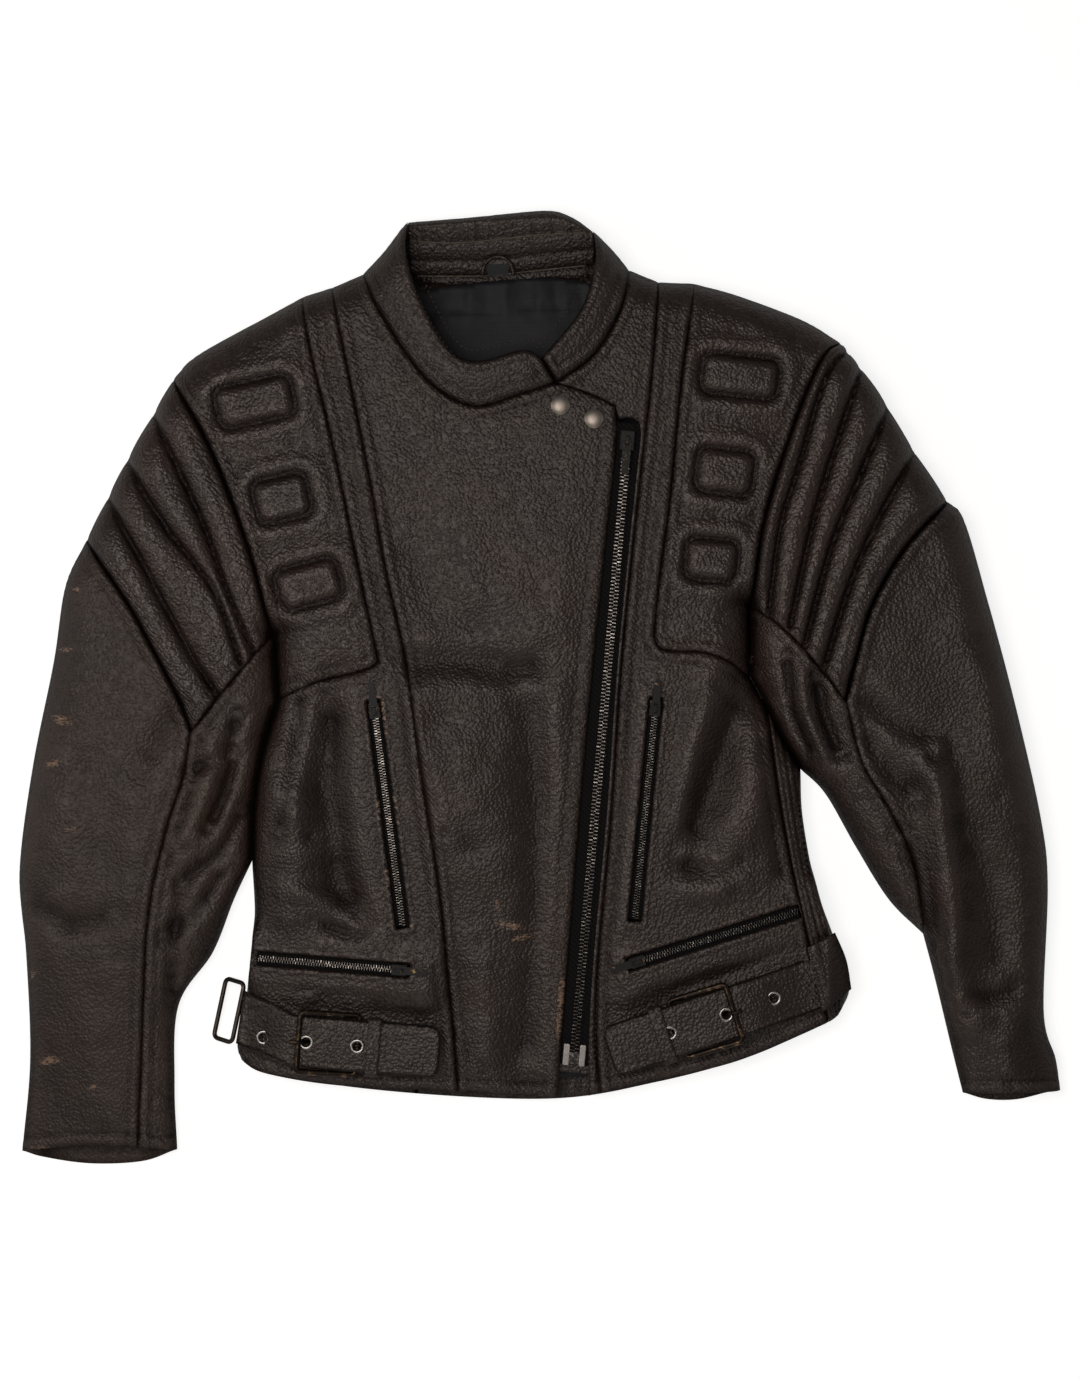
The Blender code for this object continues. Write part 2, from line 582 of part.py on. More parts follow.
def zip_fastener(zip_line, tape_half, slider_length, pull_length, pull_way, pull_half):
    """Chain on its tape, the saddle slider with its bridge, and the hanging pull."""
    place = place_zip(zip_line)
    half = zip_line.chain / 2
    profile = [(-tape_half, TAPE_TOP - TAPE), (tape_half, TAPE_TOP - TAPE), (tape_half, TAPE_TOP),
               (half, TAPE_TOP), (half, CHAIN_TOP), (-half, CHAIN_TOP),
               (-half, TAPE_TOP), (-tape_half, TAPE_TOP)]
    extrude(f"zip_{zip_line.name}", profile, -7, zip_line.length + 7, place, "zip")
    inner, outer = half + 0.45, half + 1.7
    saddle = [(-outer, TAPE_TOP + 0.4), (-inner, TAPE_TOP + 0.4), (-inner, CHAIN_TOP + 0.4),
              (inner, CHAIN_TOP + 0.4), (inner, TAPE_TOP + 0.4), (outer, TAPE_TOP + 0.4),
              (outer, SLIDER_TOP - 0.6), (outer - 0.7, SLIDER_TOP), (-outer + 0.7, SLIDER_TOP),
              (-outer, SLIDER_TOP - 0.6)]
    slider = extrude(f"slider_{zip_line.name}", saddle, -slider_length / 2, slider_length / 2,
                     place, "slider")
    top = SLIDER_TOP
    bridge = [(-3.2, top - 0.5), (-1.6, top - 0.5), (-1.6, top + 2.7), (1.6, top + 2.7), (1.6, top - 0.5),
              (3.2, top - 0.5), (3.2, top + 3.0), (2.6, top + 3.7), (-2.6, top + 3.7), (-3.2, top + 3.0)]
    boolean(slider, extrude("bridge", bridge, -1.0, 1.0, place, "slider", "un"), "UNION")
    set_origin(slider, place((0, 0, 0)))
    lift = SLIDER_TOP + PIVOT_RISE
    plate = [(-0.8, -2.4), (-0.8, 2.4), (2.0, pull_half), (pull_length - 2, pull_half * 0.8),
             (pull_length, pull_half * 0.5), (pull_length, -pull_half * 0.5),
             (pull_length - 2, -pull_half * 0.8), (2.0, -pull_half)]
    window = [(0.8, -1.6), (0.8, 1.6), (4.6, 1.6), (4.6, -1.6)]
    pull = sheet(f"pull_{zip_line.name}", np.array(plate, float), PULL_THICK / 2, PULL_THICK, "slider",
                 step=40, holes=[window],
                 place=lambda p: place((pull_way * p[0], pull_way * p[1], lift + p[2])))
    set_origin(pull, place((0, 0, lift)))


zip_fastener(main, 11.5, 14.0, 26.0, 1, 3.6)
for zip_line in (chest_r, chest_l):
    zip_fastener(zip_line, 8.0, 11.0, 22.0, -1, 3.3)
for zip_line in (hand_r, hand_l):
    zip_fastener(zip_line, 8.0, 11.0, 22.0, -1, 3.3)

# Box and pin at the foot of the main zip
main_place = place_zip(main)
BOX = [(-6.5, CHAIN_TOP + 0.4), (6.5, CHAIN_TOP + 0.4), (6.5, CHAIN_TOP + 1.6), (-6.5, CHAIN_TOP + 1.6)]
extrude("zip_box", BOX, main.length - 9, main.length + 6, main_place, "steel")

# Placket behind the main zip
PLACKET = [(-17, TAPE_TOP - TAPE - 2.6), (17, TAPE_TOP - TAPE - 2.6), (17, TAPE_TOP - TAPE - 0.6),
           (-17, TAPE_TOP - TAPE - 0.6)]
extrude("wind_flap", PLACKET, -8, main.length + 20, main_place, "leather")


def turned(name, profile, centre, slot, sides=20):
    """A round piece: profile points are (radius, height) from the axis outwards and back."""
    build = bmesh.new()
    rings = []
    for r, h in profile:
        if r == 0:
            rings.append([build.verts.new((0, 0, h * MM))])
        else:
            rings.append([build.verts.new((r * MM * math.cos(a), r * MM * math.sin(a), h * MM))
                          for a in (2 * math.pi * k / sides for k in range(sides))])
    for low, high in zip(rings[:-1], rings[1:]):
        for k in range(sides):
            a = low[k % len(low)]
            b = low[(k + 1) % len(low)]
            c = high[(k + 1) % len(high)]
            d = high[k % len(high)]
            build.faces.new([v for i, v in enumerate((a, b, c, d)) if v not in (a, b, c, d)[:i]])
    bmesh.ops.recalc_face_normals(build, faces=build.faces)
    mesh = bpy.data.meshes.new(name)
    build.to_mesh(mesh)
    build.free()
    made = finish_object(name, mesh, slot)
    made.location = Vector(centre) * MM
    made.data.shade_smooth()
    return made


CAP = [(0, 0), (6.6, 0), (7.3, 0.8), (6.6, 1.8), (3.6, 2.8), (0, 3.1)]
for label, x, y in (("inner", 16, 211), ("outer", 41, 201)):
    around = np.array([[x + 8 * math.cos(a), y + 8 * math.sin(a)] for a in np.linspace(0, 2 * math.pi, 12)])
    turned(f"snap_cap_{label}", CAP, (x, y, float(front(around).max()) + 0.6), "steel")

# Hanger loop at the neck, with the size label as its band
LOOP = [(-31 + 12 * math.cos(a), 311 + 14 * math.sin(a)) for a in np.linspace(0, math.pi, 13)]
LOOP_IN = [(-31 + 9 * math.cos(a), 312 + 11 * math.sin(a)) for a in np.linspace(math.pi, 0, 13)]
sheet("hanger_loop", np.array(LOOP + LOOP_IN), lambda p: collar_back(p) + 3.0, 1.6, "lining", step=40)
LABEL = [(-39, 312), (-23, 312), (-23, 320.4), (-39, 320.4)]
sheet("size_label", np.array(LABEL, float), lambda p: collar_back(p) + 1.2, 0.6, "lining", step=40)


def arc(centre, radius, start, end, count):
    """Points on a round stretch; angles in degrees."""
    turn = [math.radians(start + (end - start) * k / (count - 1)) for k in range(count)]
    return [(centre[0] + radius * math.cos(a), centre[1] + radius * math.sin(a)) for a in turn]


class Belt:
    """One adjuster belt: its bar sits at pivot, and along points from it to the buckle's front bar."""

    def __init__(self, name, pivot, front_bar, tip):
        self.name = name
        self.pivot = np.array(pivot, float)
        run = np.array(front_bar, float) - self.pivot
        self.along = run / np.linalg.norm(run)
        self.tip = tip
        ground = front(np.array([self.at(u, v) for u in (-tip, -30, 0, 25, 48) for v in (-24, 0, 24)]))
        self.ground = float(ground.max())
        self.place = frame_of(self.pivot, self.along, self.ground, self.ground, 1.0)

    def at(self, u, v=0.0):
        across = np.array([-self.along[1], self.along[0]])
        return self.pivot + u * self.along + v * across


belt_r = Belt("right", (-136, -267.5), (-180, -264), 62)
belt_l = Belt("left", (103.6, -255.5), (146.5, -241.5), 54)


def tail_height(belt, far_u, far_z):
    """Level over the buckle, then a slope down to where the strap is held."""
    level = belt.ground + TAIL_LIFT + STRAP

    def height(points):
        u = (points - belt.pivot) @ belt.along
        t = np.clip((u - 50) / (far_u - 50), 0, 1)
        return level + (far_z - level) * t * t * (3 - 2 * t)
    return height


def prong_hole(belt):
    return [belt.at(*p) for p in arc((38.2, 0.0), 4.6, 0, 324, 10)]


def strap_tail(belt, end_points, end_back, height):
    """Free strap: rounded tip, straight sides, one eyelet hole for the prong."""
    tip = belt.tip
    outline = [belt.at(*p) for p in arc((-tip + 9, STRAP_HALF - 9), 9, 180, 90, 4)]
    outline += [belt.at(u, STRAP_HALF) for u in (-25, 0, 20, 48)]
    outline += [np.array(p, float) for p in end_points + end_back]
    outline += [belt.at(u, -STRAP_HALF) for u in (48, 20, 0, -25)]
    outline += [belt.at(*p) for p in arc((-tip + 9, -STRAP_HALF + 9), 9, 270, 180, 4)]
    sheet(f"belt_tail_{belt.name}", np.array(outline), height, STRAP, step=15, holes=[prong_hole(belt)])


# The right belt bends up to its side ring; the left one runs straight under its carrier.
# "Across" is to the left of "along", so each end is listed on that side first.
strap_tail(belt_r, [(-200, -276), (-228, -267)], [(-222, -227.5), (-196, -237.5)],
           tail_height(belt_r, 88, 28.5))
strap_tail(belt_l, [(172, -213), (205, -201.5)], [(217, -238), (184, -249.5)],
           tail_height(belt_l, 108, 37.1))


def anchored_strap(belt):
    """Strap sewn to the jacket; its end curls round the buckle's bar, split for the prong."""
    mid = PIVOT_LIFT
    profile = arc((0, mid), CURL_RADIUS, 162, -162, 15)
    profile += [(-belt.tip + 14, mid - 1.1), (-belt.tip + 14, mid + 1.1)]
    strap = extrude(f"belt_anchor_{belt.name}", profile, -17, 17, belt.place, "leather", "un")
    hole = arc((0, mid), CURL_RADIUS - 1.1, 0, 342, 20)
    boolean(strap, extrude("bar_hole", hole, -20, 20, belt.place, "leather", "un"), "DIFFERENCE")
    gap = [(-4.0, -3.0), (6.0, -3.0), (6.0, 12.0), (-4.0, 12.0)]
    boolean(strap, extrude("gap", gap, -2.2, 2.2, belt.place, "leather", "un"), "DIFFERENCE")


def buckle(belt):
    """Wire frame with its front bar above the strap, and the prong that turns on its bar."""
    rise = TAIL_LIFT + STRAP + 0.5 + BAR_RADIUS - PIVOT_LIFT
    tilt = math.atan2(rise, FRAME_LENGTH)
    reach = math.hypot(rise, FRAME_LENGTH)

    def tilted(p):
        u = p[0] * math.cos(tilt) - p[2] * math.sin(tilt)
        n = p[0] * math.sin(tilt) + p[2] * math.cos(tilt)
        return belt.place((u, p[1], n + PIVOT_LIFT))

    w, r, h = BAR_RADIUS, BAR_RADIUS, FRAME_HALF
    rim = [(-r, -h + 2), (-r, h - 2), (2 - r, h), (reach + r - 3, h), (reach + r, h - 3),
           (reach + r, -h + 3), (reach + r - 3, -h), (2 - r, -h)]
    side = h - 2 * w - 0.4
    window = [(r, -side), (r, side), (reach - r - 1, side), (reach - r, side - 1), (reach - r, 1 - side),
              (reach - r - 1, -side)]
    frame = sheet(f"buckle_frame_{belt.name}", np.array(rim, float), w, 2 * w, "brass", step=80,
                  holes=[window], place=tilted)
    set_origin(frame, belt.place((0, 0, PIVOT_LIFT)))
    top = PIVOT_LIFT + rise + BAR_RADIUS + 1.5
    eye = BAR_RADIUS + 0.8
    arm = arc((0, PIVOT_LIFT), eye + 1.0, 25, 325, 13)
    arm += [(34.5, PIVOT_LIFT - 1.4), (43.5, top), (50.0, top), (50.0, top + 1.9), (42.6, top + 1.9),
            (33.4, PIVOT_LIFT + 0.7), (4.0, PIVOT_LIFT + 0.7)]
    prong = extrude(f"buckle_prong_{belt.name}", arm, -1.2, 1.2, belt.place, "brass", "un")
    hole = arc((0, PIVOT_LIFT), eye, 0, 345, 24)
    boolean(prong, extrude("eye", hole, -3, 3, belt.place, "brass", "un"), "DIFFERENCE")
    set_origin(prong, belt.place((0, 0, PIVOT_LIFT)))


def keeper(belt):
    """Leather loop round tail and anchored strap."""
    low, high = 0.7, TAIL_LIFT + STRAP + 2.2
    w = STRAP_HALF + 2.4
    outer = [(-w, low), (w, low), (w, high), (-w, high)]
    inner = [(-w + 1.6, low + 1.4), (w - 1.6, low + 1.4), (w - 1.6, high - 1.6), (-w + 1.6, high - 1.6)]
    loop = extrude(f"belt_keeper_{belt.name}", outer, -17, -7, belt.place, "leather")
    boolean(loop, extrude("inner", inner, -20, -4, belt.place, "leather"), "DIFFERENCE")
    set_origin(loop, belt.place((-12, 0, PIVOT_LIFT)))


for belt in (belt_r, belt_l):
    anchored_strap(belt)
    buckle(belt)
    keeper(belt)

# Side ring of the right belt: hinged on the bar under the strap's end
RING_AT = (-226.8, -245.0)
RING_Z = 22.0
RING_TURN = math.radians(12)
RING_DROP = math.radians(38)
RING_WIRE = 1.7


def ring_place(p):
    """Local u runs out from the jacket's side and down, v along the bar."""
    out = Vector((-math.cos(RING_TURN), math.sin(RING_TURN), 0.0))
    bar = Vector((math.sin(RING_TURN), math.cos(RING_TURN), 0.0))
    u = out * math.cos(RING_DROP) - Vector((0, 0, math.sin(RING_DROP)))
    n = u.cross(bar)
    n = n if n.z > 0 else -n
    return tuple(Vector((*RING_AT, RING_Z)) + u * p[0] - bar * p[1] + n * p[2])


g, k = RING_WIRE, 24.5
ring_rim = [(-g, -k + 2), (-g, k - 2), (2 - g, k), (18, k),
            (21, k - 3), (21, -k + 3), (18, -k), (2 - g, -k)]
ring_window = [(g, -k + 3.6), (g, k - 3.6), (16.4, k - 3.6), (17.6, k - 4.8), (17.6, -k + 4.8),
               (16.4, -k + 3.6)]
ring = sheet("side_ring", np.array(ring_rim, float), g, 2 * g, "brass", step=80, holes=[ring_window],
             place=ring_place)
set_origin(ring, (*RING_AT, RING_Z))

# Carrier patch that the left belt runs under
carrier = spline([(201, -194), (222, -183)], 12)
carrier_side = spline([(222, -183), (231, -204), (235, -226)], 12)
carrier_low = spline([(235, -226), (212, -243)], 12)
carrier_in = spline([(212, -243), (201, -194)], 12)
sheet("belt_carrier_left", chain_of(carrier, carrier_side, carrier_low, carrier_in),
      lambda p: np.maximum(front(p) + 6.0, 40.4 - 0.55 * np.clip(p[:, 0] - 217, 0, 40)), 1.8, step=12)
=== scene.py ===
import math

import bmesh
import bpy
import numpy as np
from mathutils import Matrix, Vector
from mathutils.geometry import delaunay_2d_cdt


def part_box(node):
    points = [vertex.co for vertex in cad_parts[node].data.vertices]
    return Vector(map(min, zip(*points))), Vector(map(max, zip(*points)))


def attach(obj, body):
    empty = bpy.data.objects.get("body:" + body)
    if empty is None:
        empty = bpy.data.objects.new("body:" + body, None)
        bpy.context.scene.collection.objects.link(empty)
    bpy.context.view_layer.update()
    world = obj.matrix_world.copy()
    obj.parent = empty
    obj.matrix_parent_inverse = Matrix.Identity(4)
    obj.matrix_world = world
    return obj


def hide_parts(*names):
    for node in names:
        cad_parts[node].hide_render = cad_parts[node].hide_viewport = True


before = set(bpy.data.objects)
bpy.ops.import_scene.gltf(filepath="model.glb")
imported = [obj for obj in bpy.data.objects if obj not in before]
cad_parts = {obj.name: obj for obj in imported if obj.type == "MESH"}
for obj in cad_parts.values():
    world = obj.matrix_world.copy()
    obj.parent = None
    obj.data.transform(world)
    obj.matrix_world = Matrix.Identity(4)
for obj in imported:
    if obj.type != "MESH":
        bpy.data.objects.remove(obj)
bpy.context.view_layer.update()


# ---------------------------------------------------------------- studio
# A white sweep under one large soft box overhead, towards the collar, and two weak strips
# low at the sides: leather that faces up has a sheen, and slopes and grooves fall dark.

def srgb(code):
    """An sRGB hex colour as linear RGBA."""
    parts = [int(code[i:i + 2], 16) / 255 for i in (1, 3, 5)]
    return (*[c / 12.92 if c <= 0.04045 else ((c + 0.055) / 1.055) ** 2.4 for c in parts], 1.0)


def add(tree, kind, links=None, **settings):
    """Adds one shader node: settings are its properties, links its inputs, as values or sockets."""
    made = tree.nodes.new("ShaderNode" + kind)
    for key, value in settings.items():
        setattr(made, key, value)
    for key, value in (links or {}).items():
        if isinstance(value, bpy.types.NodeSocket):
            tree.links.new(value, made.inputs[key])
        else:
            made.inputs[key].default_value = value
    return made


def surface(name):
    """A new material and its tree, emptied but for the shader and its output."""
    made = bpy.data.materials.new(name)
    made.use_nodes = True
    return made, made.node_tree, made.node_tree.nodes["Principled BSDF"]


def tint(tree, shader, share, dark, light):
    """Colours a shader between two hex colours, by a share from 0 to 1."""
    mix = add(tree, "Mix", {0: share, 6: srgb(dark), 7: srgb(light)}, data_type="RGBA")
    tree.links.new(mix.outputs[2], shader.inputs["Base Color"])
    return mix


def dress(node, material):
    """Gives one of the design's own nodes this material only."""
    node.data.materials.clear()
    node.data.materials.append(material)


floor_mesh = bpy.data.meshes.new("studio_floor")
FLOOR_HALF = 6.0
floor_mesh.from_pydata([(-FLOOR_HALF, -FLOOR_HALF, -0.0005), (FLOOR_HALF, -FLOOR_HALF, -0.0005),
                        (FLOOR_HALF, FLOOR_HALF, -0.0005), (-FLOOR_HALF, FLOOR_HALF, -0.0005)],
                       [], [(0, 1, 2, 3)])
floor = bpy.data.objects.new("studio_floor", floor_mesh)
bpy.context.collection.objects.link(floor)
paper, paper_tree, paper_shader = surface("matt_white_paper")
paper_shader.inputs["Base Color"].default_value = srgb("#b4b4b2")
paper_shader.inputs["Roughness"].default_value = 0.9
paper_shader.inputs["Emission Color"].default_value = (1, 1, 1, 1)
seen = add(paper_tree, "LightPath")
glow = add(paper_tree, "Mix", {0: seen.outputs["Is Camera Ray"], 2: 0.1, 3: 0.8}, data_type="FLOAT")
paper_tree.links.new(glow.outputs[0], paper_shader.inputs["Emission Strength"])
floor_mesh.materials.append(paper)

world = bpy.data.worlds.new("studio")
bpy.context.scene.world = world
world.use_nodes = True
sky = world.node_tree.nodes["Background"]
sky.inputs["Color"].default_value = (0.97, 0.98, 1.0, 1)
ray = add(world.node_tree, "LightPath")
level = add(world.node_tree, "Mix", {0: ray.outputs["Is Camera Ray"], 2: 0.12, 3: 1.0}, data_type="FLOAT")
world.node_tree.links.new(level.outputs[0], sky.inputs["Strength"])

WARM_WHITE = (1.0, 0.945, 0.905)
SOFT_BOXES = [("key", (-0.3, 0.05, 1.55), (0.7, 0.7), 10.3), ("left", (-1.8, 0.1, 0.9), (0.5, 1.4), 5.0),
              ("right", (1.9, 0.2, 0.9), (0.5, 1.4), 1.5), ("hem", (0.0, -1.8, 1.0), (1.4, 0.5), 4.5)]
for label, place, size, power in SOFT_BOXES:
    lamp = bpy.data.lights.new(f"softbox_{label}", "AREA")
    lamp.shape = "RECTANGLE"
    lamp.size, lamp.size_y = size
    lamp.energy = power
    lamp.color = WARM_WHITE
    holder = bpy.data.objects.new(f"softbox_{label}", lamp)
    holder.location = place
    holder.rotation_euler = (Vector((0, 0, 0)) - Vector(place)).to_track_quat("-Z", "Y").to_euler()
    holder.visible_camera = False
    bpy.context.collection.objects.link(holder)

VIEW_HEIGHT = 1.0335     # metres from the top of the view to its bottom, at the jacket's middle
LENS, SENSOR = 85.0, 36.0
camera_data = bpy.data.cameras.new("camera")
camera_data.lens = LENS
camera_data.sensor_width = SENSOR
camera = bpy.data.objects.new("camera", camera_data)
camera.location = (0.0008, -0.0005, VIEW_HEIGHT * LENS / SENSOR + 0.035)
bpy.context.collection.objects.link(camera)
bpy.context.scene.camera = camera
bpy.context.scene.view_settings.view_transform = "Standard"


# ---------------------------------------------------------------- the leather shell
# Panels of full-grain cowhide, cut to shared seam lines and sewn right sides together.
# Each is a fine sheet over its plan outline; the height is how the jacket lies on its back.

MM = 0.001
RIM_HEIGHT = 12.6        # where front and back sheets meet at the silhouette
ROLL_WIDTH = 32.0
EDGE_REACH = 45.0        # no point is taken to be farther than this from the silhouette
CAD_RIM, CAD_ROLL = 16.0, 35.0
HEIGHT_STATIONS = [-362, -300, -200, -100, 0, 150, 260, 330, 362]
HEIGHT_VALUES = [24, 27, 36, 41, 44, 47, 50, 52, 52]
SEAM_STEP = 3.0
FINE_STEP = 2.5
LEATHER = 1.4
CORE_END, CORE_BLEND = 17.0, 24.0


def spline(points, step=SEAM_STEP):
    """Smooth curve through a few points, sampled at about the given step."""
    p = np.array(points, float)
    if len(p) == 2:
        count = max(1, round(float(np.linalg.norm(p[1] - p[0])) / step))
        return p[0] + (p[1] - p[0]) * np.linspace(0, 1, count + 1)[:, None]
    ends = np.vstack([2 * p[0] - p[1], p, 2 * p[-1] - p[-2]])
    out = []
    for i in range(len(p) - 1):
        a, b, c, d = ends[i:i + 4]
        for t in np.linspace(0, 1, 24, endpoint=False):
            out.append(0.5 * (2 * b + (c - a) * t + (2 * a - 5 * b + 4 * c - d) * t * t
                              + (3 * b - a - 3 * c + d) * t ** 3))
    out.append(p[-1])
    fine = np.array(out)
    run = np.concatenate([[0], np.cumsum(np.linalg.norm(np.diff(fine, axis=0), axis=1))])
    at = np.linspace(0, run[-1], max(2, round(run[-1] / step)) + 1)
    return np.column_stack([np.interp(at, run, fine[:, k]) for k in (0, 1)])


def chain_of(*curves):
    """Curves end to end as one closed outline, without doubled corner points."""
    out = []
    for curve in curves:
        for q in curve:
            if not out or np.linalg.norm(np.array(q) - out[-1]) > 0.4:
                out.append(np.array(q, float))
    if np.linalg.norm(out[0] - out[-1]) < 0.4:
        out.pop()
    return np.array(out)


def back(curve):
    return curve[::-1]


def distance(points, curve):
    """Shortest plan distance from each point to a curve."""
    best = np.full(len(points), 1e9)
    for a, b in zip(curve[:-1], curve[1:]):
        d = b - a
        t = np.clip(((points - a) @ d) / max(d @ d, 1e-9), 0, 1)
        off = points - a - t[:, None] * d
        best = np.minimum(best, off[:, 0] ** 2 + off[:, 1] ** 2)
    return np.sqrt(best)


def nearest(points, curves, reach=60.0):
    """Distance to the nearest of several curves; those far from all the points are passed over."""
    low, high = points.min(0) - reach, points.max(0) + reach
    best = np.full(len(points), reach)
    for curve in curves:
        if (curve.max(0) < low).any() or (curve.min(0) > high).any():
            continue
        thin = curve[::2] if len(curve) % 2 else np.vstack([curve[::2], curve[-1:]])
        best = np.minimum(best, distance(points, thin))
    return best


def unevenness(points, size, seed):
    """Smooth random height from -1 to 1, with bumps of about the given size in millimetres."""
    table = np.random.default_rng(seed).random((256, 256)) * 2 - 1
    q = np.asarray(points) / size + 37.0
    cell = np.floor(q).astype(int)
    f = q - cell
    s = f * f * (3 - 2 * f)
    x0, y0 = cell[:, 0] % 256, cell[:, 1] % 256
    x1, y1 = (x0 + 1) % 256, (y0 + 1) % 256
    low = table[x0, y0] * (1 - s[:, 0]) + table[x1, y0] * s[:, 0]
    high = table[x0, y1] * (1 - s[:, 0]) + table[x1, y1] * s[:, 0]
    return low * (1 - s[:, 1]) + high * s[:, 1]


# Corner points shared by several seams: r is the wearer's right, l the wearer's left
SHOULDER_R1, SHOULDER_R2 = (-178, 296), (-156, 303)
SHOULDER_L1, SHOULDER_L2 = (117, 306), (90, 307)
NECK_R, NECK_L = (-133, 313), (68, 316)
ARM_R, ARM_L = (-276, 234), (228, 261)
PIT_R, PIT_L = (-200, 40), (159, 62)
YOKE_END_R, YOKE_END_L = (-197, -8), (160, 8)
PART_R, PART_L = (-217, -130), (198, -61)
RIB_R, RIB_L = (-342, 112), (309, 141)
ELBOW_R, ELBOW_L = (-261, -33), (230, -10)
NOTCH, FLAP_CORNER = (13, 228), (57, 211)
HEM_R0, HEM_R1, HEM_FLAP = (-225, -281), (-61, -303.5), (14, -308)
HEM_ZIP, HEM_L1, HEM_L2, HEM_L3 = (37, -307), (46, -304), (218, -251), (228, -245)
CUFF_R0, CUFF_RS, CUFF_R1 = (-391, -350), (-302, -345.5), (-274, -349)
CUFF_L0, CUFF_L1 = (394.5, -304), (321, -306)
UNDER_END_L = (291, -186)
COLLAR_R, COLLAR_L = (-99, 352), (41, 345)
SIDE_TOP = (172, -14)
YOKE_LOW_R, YOKE_LOW_L = (-120, 20), (86, 40)

yoke_in_r = spline([SHOULDER_R1, (-171, 255), (-158, 200), (-147, 150), (-138, 105), YOKE_LOW_R])
yoke_low_r = spline([YOKE_LOW_R, (-130, 14), (-165, 5), YOKE_END_R])
armhole_r = spline([ARM_R, (-250, 190), (-230, 143), (-212, 90), PIT_R])
crease_r = spline([PIT_R, YOKE_END_R])
side_crease_r = spline([YOKE_END_R, (-208, -45), (-215, -85), PART_R])
side_r = spline([PART_R, (-215, -175), (-219, -220), (-228, -266), HEM_R0])
arm_inner_r = spline([PART_R, (-231, -160), (-247, -200), (-273, -240), (-276, -300), CUFF_R1])
arm_top_r = spline([ARM_R, (-291, 208), (-311, 173), RIB_R])
arm_outer_r = spline([RIB_R, (-358, 78), (-367, 20), (-383, -60), (-393, -140), (-388, -200),
                      (-385, -280), CUFF_R0])
rib_under_r = spline([PIT_R, (-227, 9), (-243, -10), ELBOW_R])
rib_low_r = spline([RIB_R, (-310, 66), (-290, 30), (-272, -5), ELBOW_R])
arm_seam_r = spline([ELBOW_R, (-266, -65), (-280, -110), (-293, -175), (-299, -280), CUFF_RS])
cuff_top_r = spline([CUFF_R0, (-370, -346.5), (-340, -344.5), CUFF_RS])
cuff_under_r = spline([CUFF_RS, CUFF_R1])
princess_r = spline([SHOULDER_R2, (-140, 225), (-126, 155), (-115, 92), (-99, 16), (-89, -60),
                     (-75, -150), (-66, -240), HEM_R1])
hem_side_r = spline([HEM_R0, (-205, -290), (-150, -299), HEM_R1])
hem_front_r = spline([HEM_R1, HEM_FLAP])
shoulder_r = spline([ARM_R, (-258, 252), (-200, 284), SHOULDER_R1])
strip_r = spline([SHOULDER_R1, SHOULDER_R2])
neck_side_r = spline([SHOULDER_R2, NECK_R])
collar_seam_r = spline([NECK_R, (-118, 280), (-85, 232), (-50, 211), (-15, 219), NOTCH])
collar_edge_r = spline([NECK_R, (-117, 329), (-105, 345), COLLAR_R])
collar_in_r = spline([COLLAR_R, (-99, 325), (-88, 290), (-66, 252), (-45, 244), (-12, 252), (2, 246)])
tab = spline([(2, 246), (8, 236), NOTCH])
flap_top = spline([NOTCH, (35, 221), FLAP_CORNER])
flap_edge = spline([FLAP_CORNER, (57.5, 180), (50, 110), (39, 0), (31, -90), (19, -240), HEM_FLAP])
yoke_in_l = spline([SHOULDER_L1, (106, 225), (99, 150), (90, 80), YOKE_LOW_L])
yoke_low_l = spline([YOKE_LOW_L, (92, 29), (122, 27), (143, 20), YOKE_END_L])
armhole_l = spline([ARM_L, (212, 248), (190, 197), (168, 125), PIT_L])
crease_l = spline([PIT_L, YOKE_END_L])
side_crease_l = spline([YOKE_END_L, SIDE_TOP])
panel_crease_l = spline([SIDE_TOP, (185, -40), PART_L])
side_l = spline([PART_L, (200, -100), (212, -160), (231, -206), (235, -228), HEM_L3])
side_seam_l = spline([SIDE_TOP, (179, -75), (193, -150), (207, -210), HEM_L2])
hem_panel_l = spline([HEM_L2, HEM_L3])
hem_side_l = spline([HEM_L1, (80, -297), (150, -280), HEM_L2])
hem_front_l = spline([HEM_ZIP, HEM_L1])
princess_l = spline([SHOULDER_L2, (84, 230), (73, 130), (62, 20), (54, -100), (45, -200),
                     (43, -260), HEM_L1])
welt_l = spline([(76, 190), (66, 95), (58, 10), (51, -90), (41, -200), (37.5, -260), HEM_ZIP])
zip_head = spline([(76, 190), (74, 199), (66, 202), (59.5, 201), FLAP_CORNER])
arm_inner_l = spline([PART_L, (217, -80), (240, -120), (265, -160), UNDER_END_L])
cuff_inner_l = spline([UNDER_END_L, (300, -220), (312, -270), CUFF_L1])
arm_top_l = spline([ARM_L, (255, 226), (280, 185), RIB_L])
arm_outer_l = spline([RIB_L, (322, 126), (341, 60), (362, -20), (380, -100), (385, -150),
                      (382, -245), (391, -280), CUFF_L0])
rib_under_l = spline([PIT_L, (185, 43), (208, 18), ELBOW_L])
rib_low_l = spline([RIB_L, (275, 105), (250, 62), (238, 22), ELBOW_L])
arm_seam_l = spline([ELBOW_L, (242, -55), (262, -90), (281, -130), UNDER_END_L])
cuff_l = spline([CUFF_L0, CUFF_L1])
shoulder_l = spline([SHOULDER_L1, (150, 297), (200, 278), ARM_L])
strip_l = spline([SHOULDER_L2, SHOULDER_L1])
neck_side_l = spline([NECK_L, SHOULDER_L2])
collar_seam_l = spline([NECK_L, (62, 285), (42, 250), NOTCH])
collar_edge_l = spline([NECK_L, (58, 328), COLLAR_L])
collar_in_l = spline([COLLAR_L, (42, 318), (31, 282), (2, 246)])
collar_top = spline([COLLAR_R, (-50, 356), (5, 361), (25, 356), COLLAR_L])

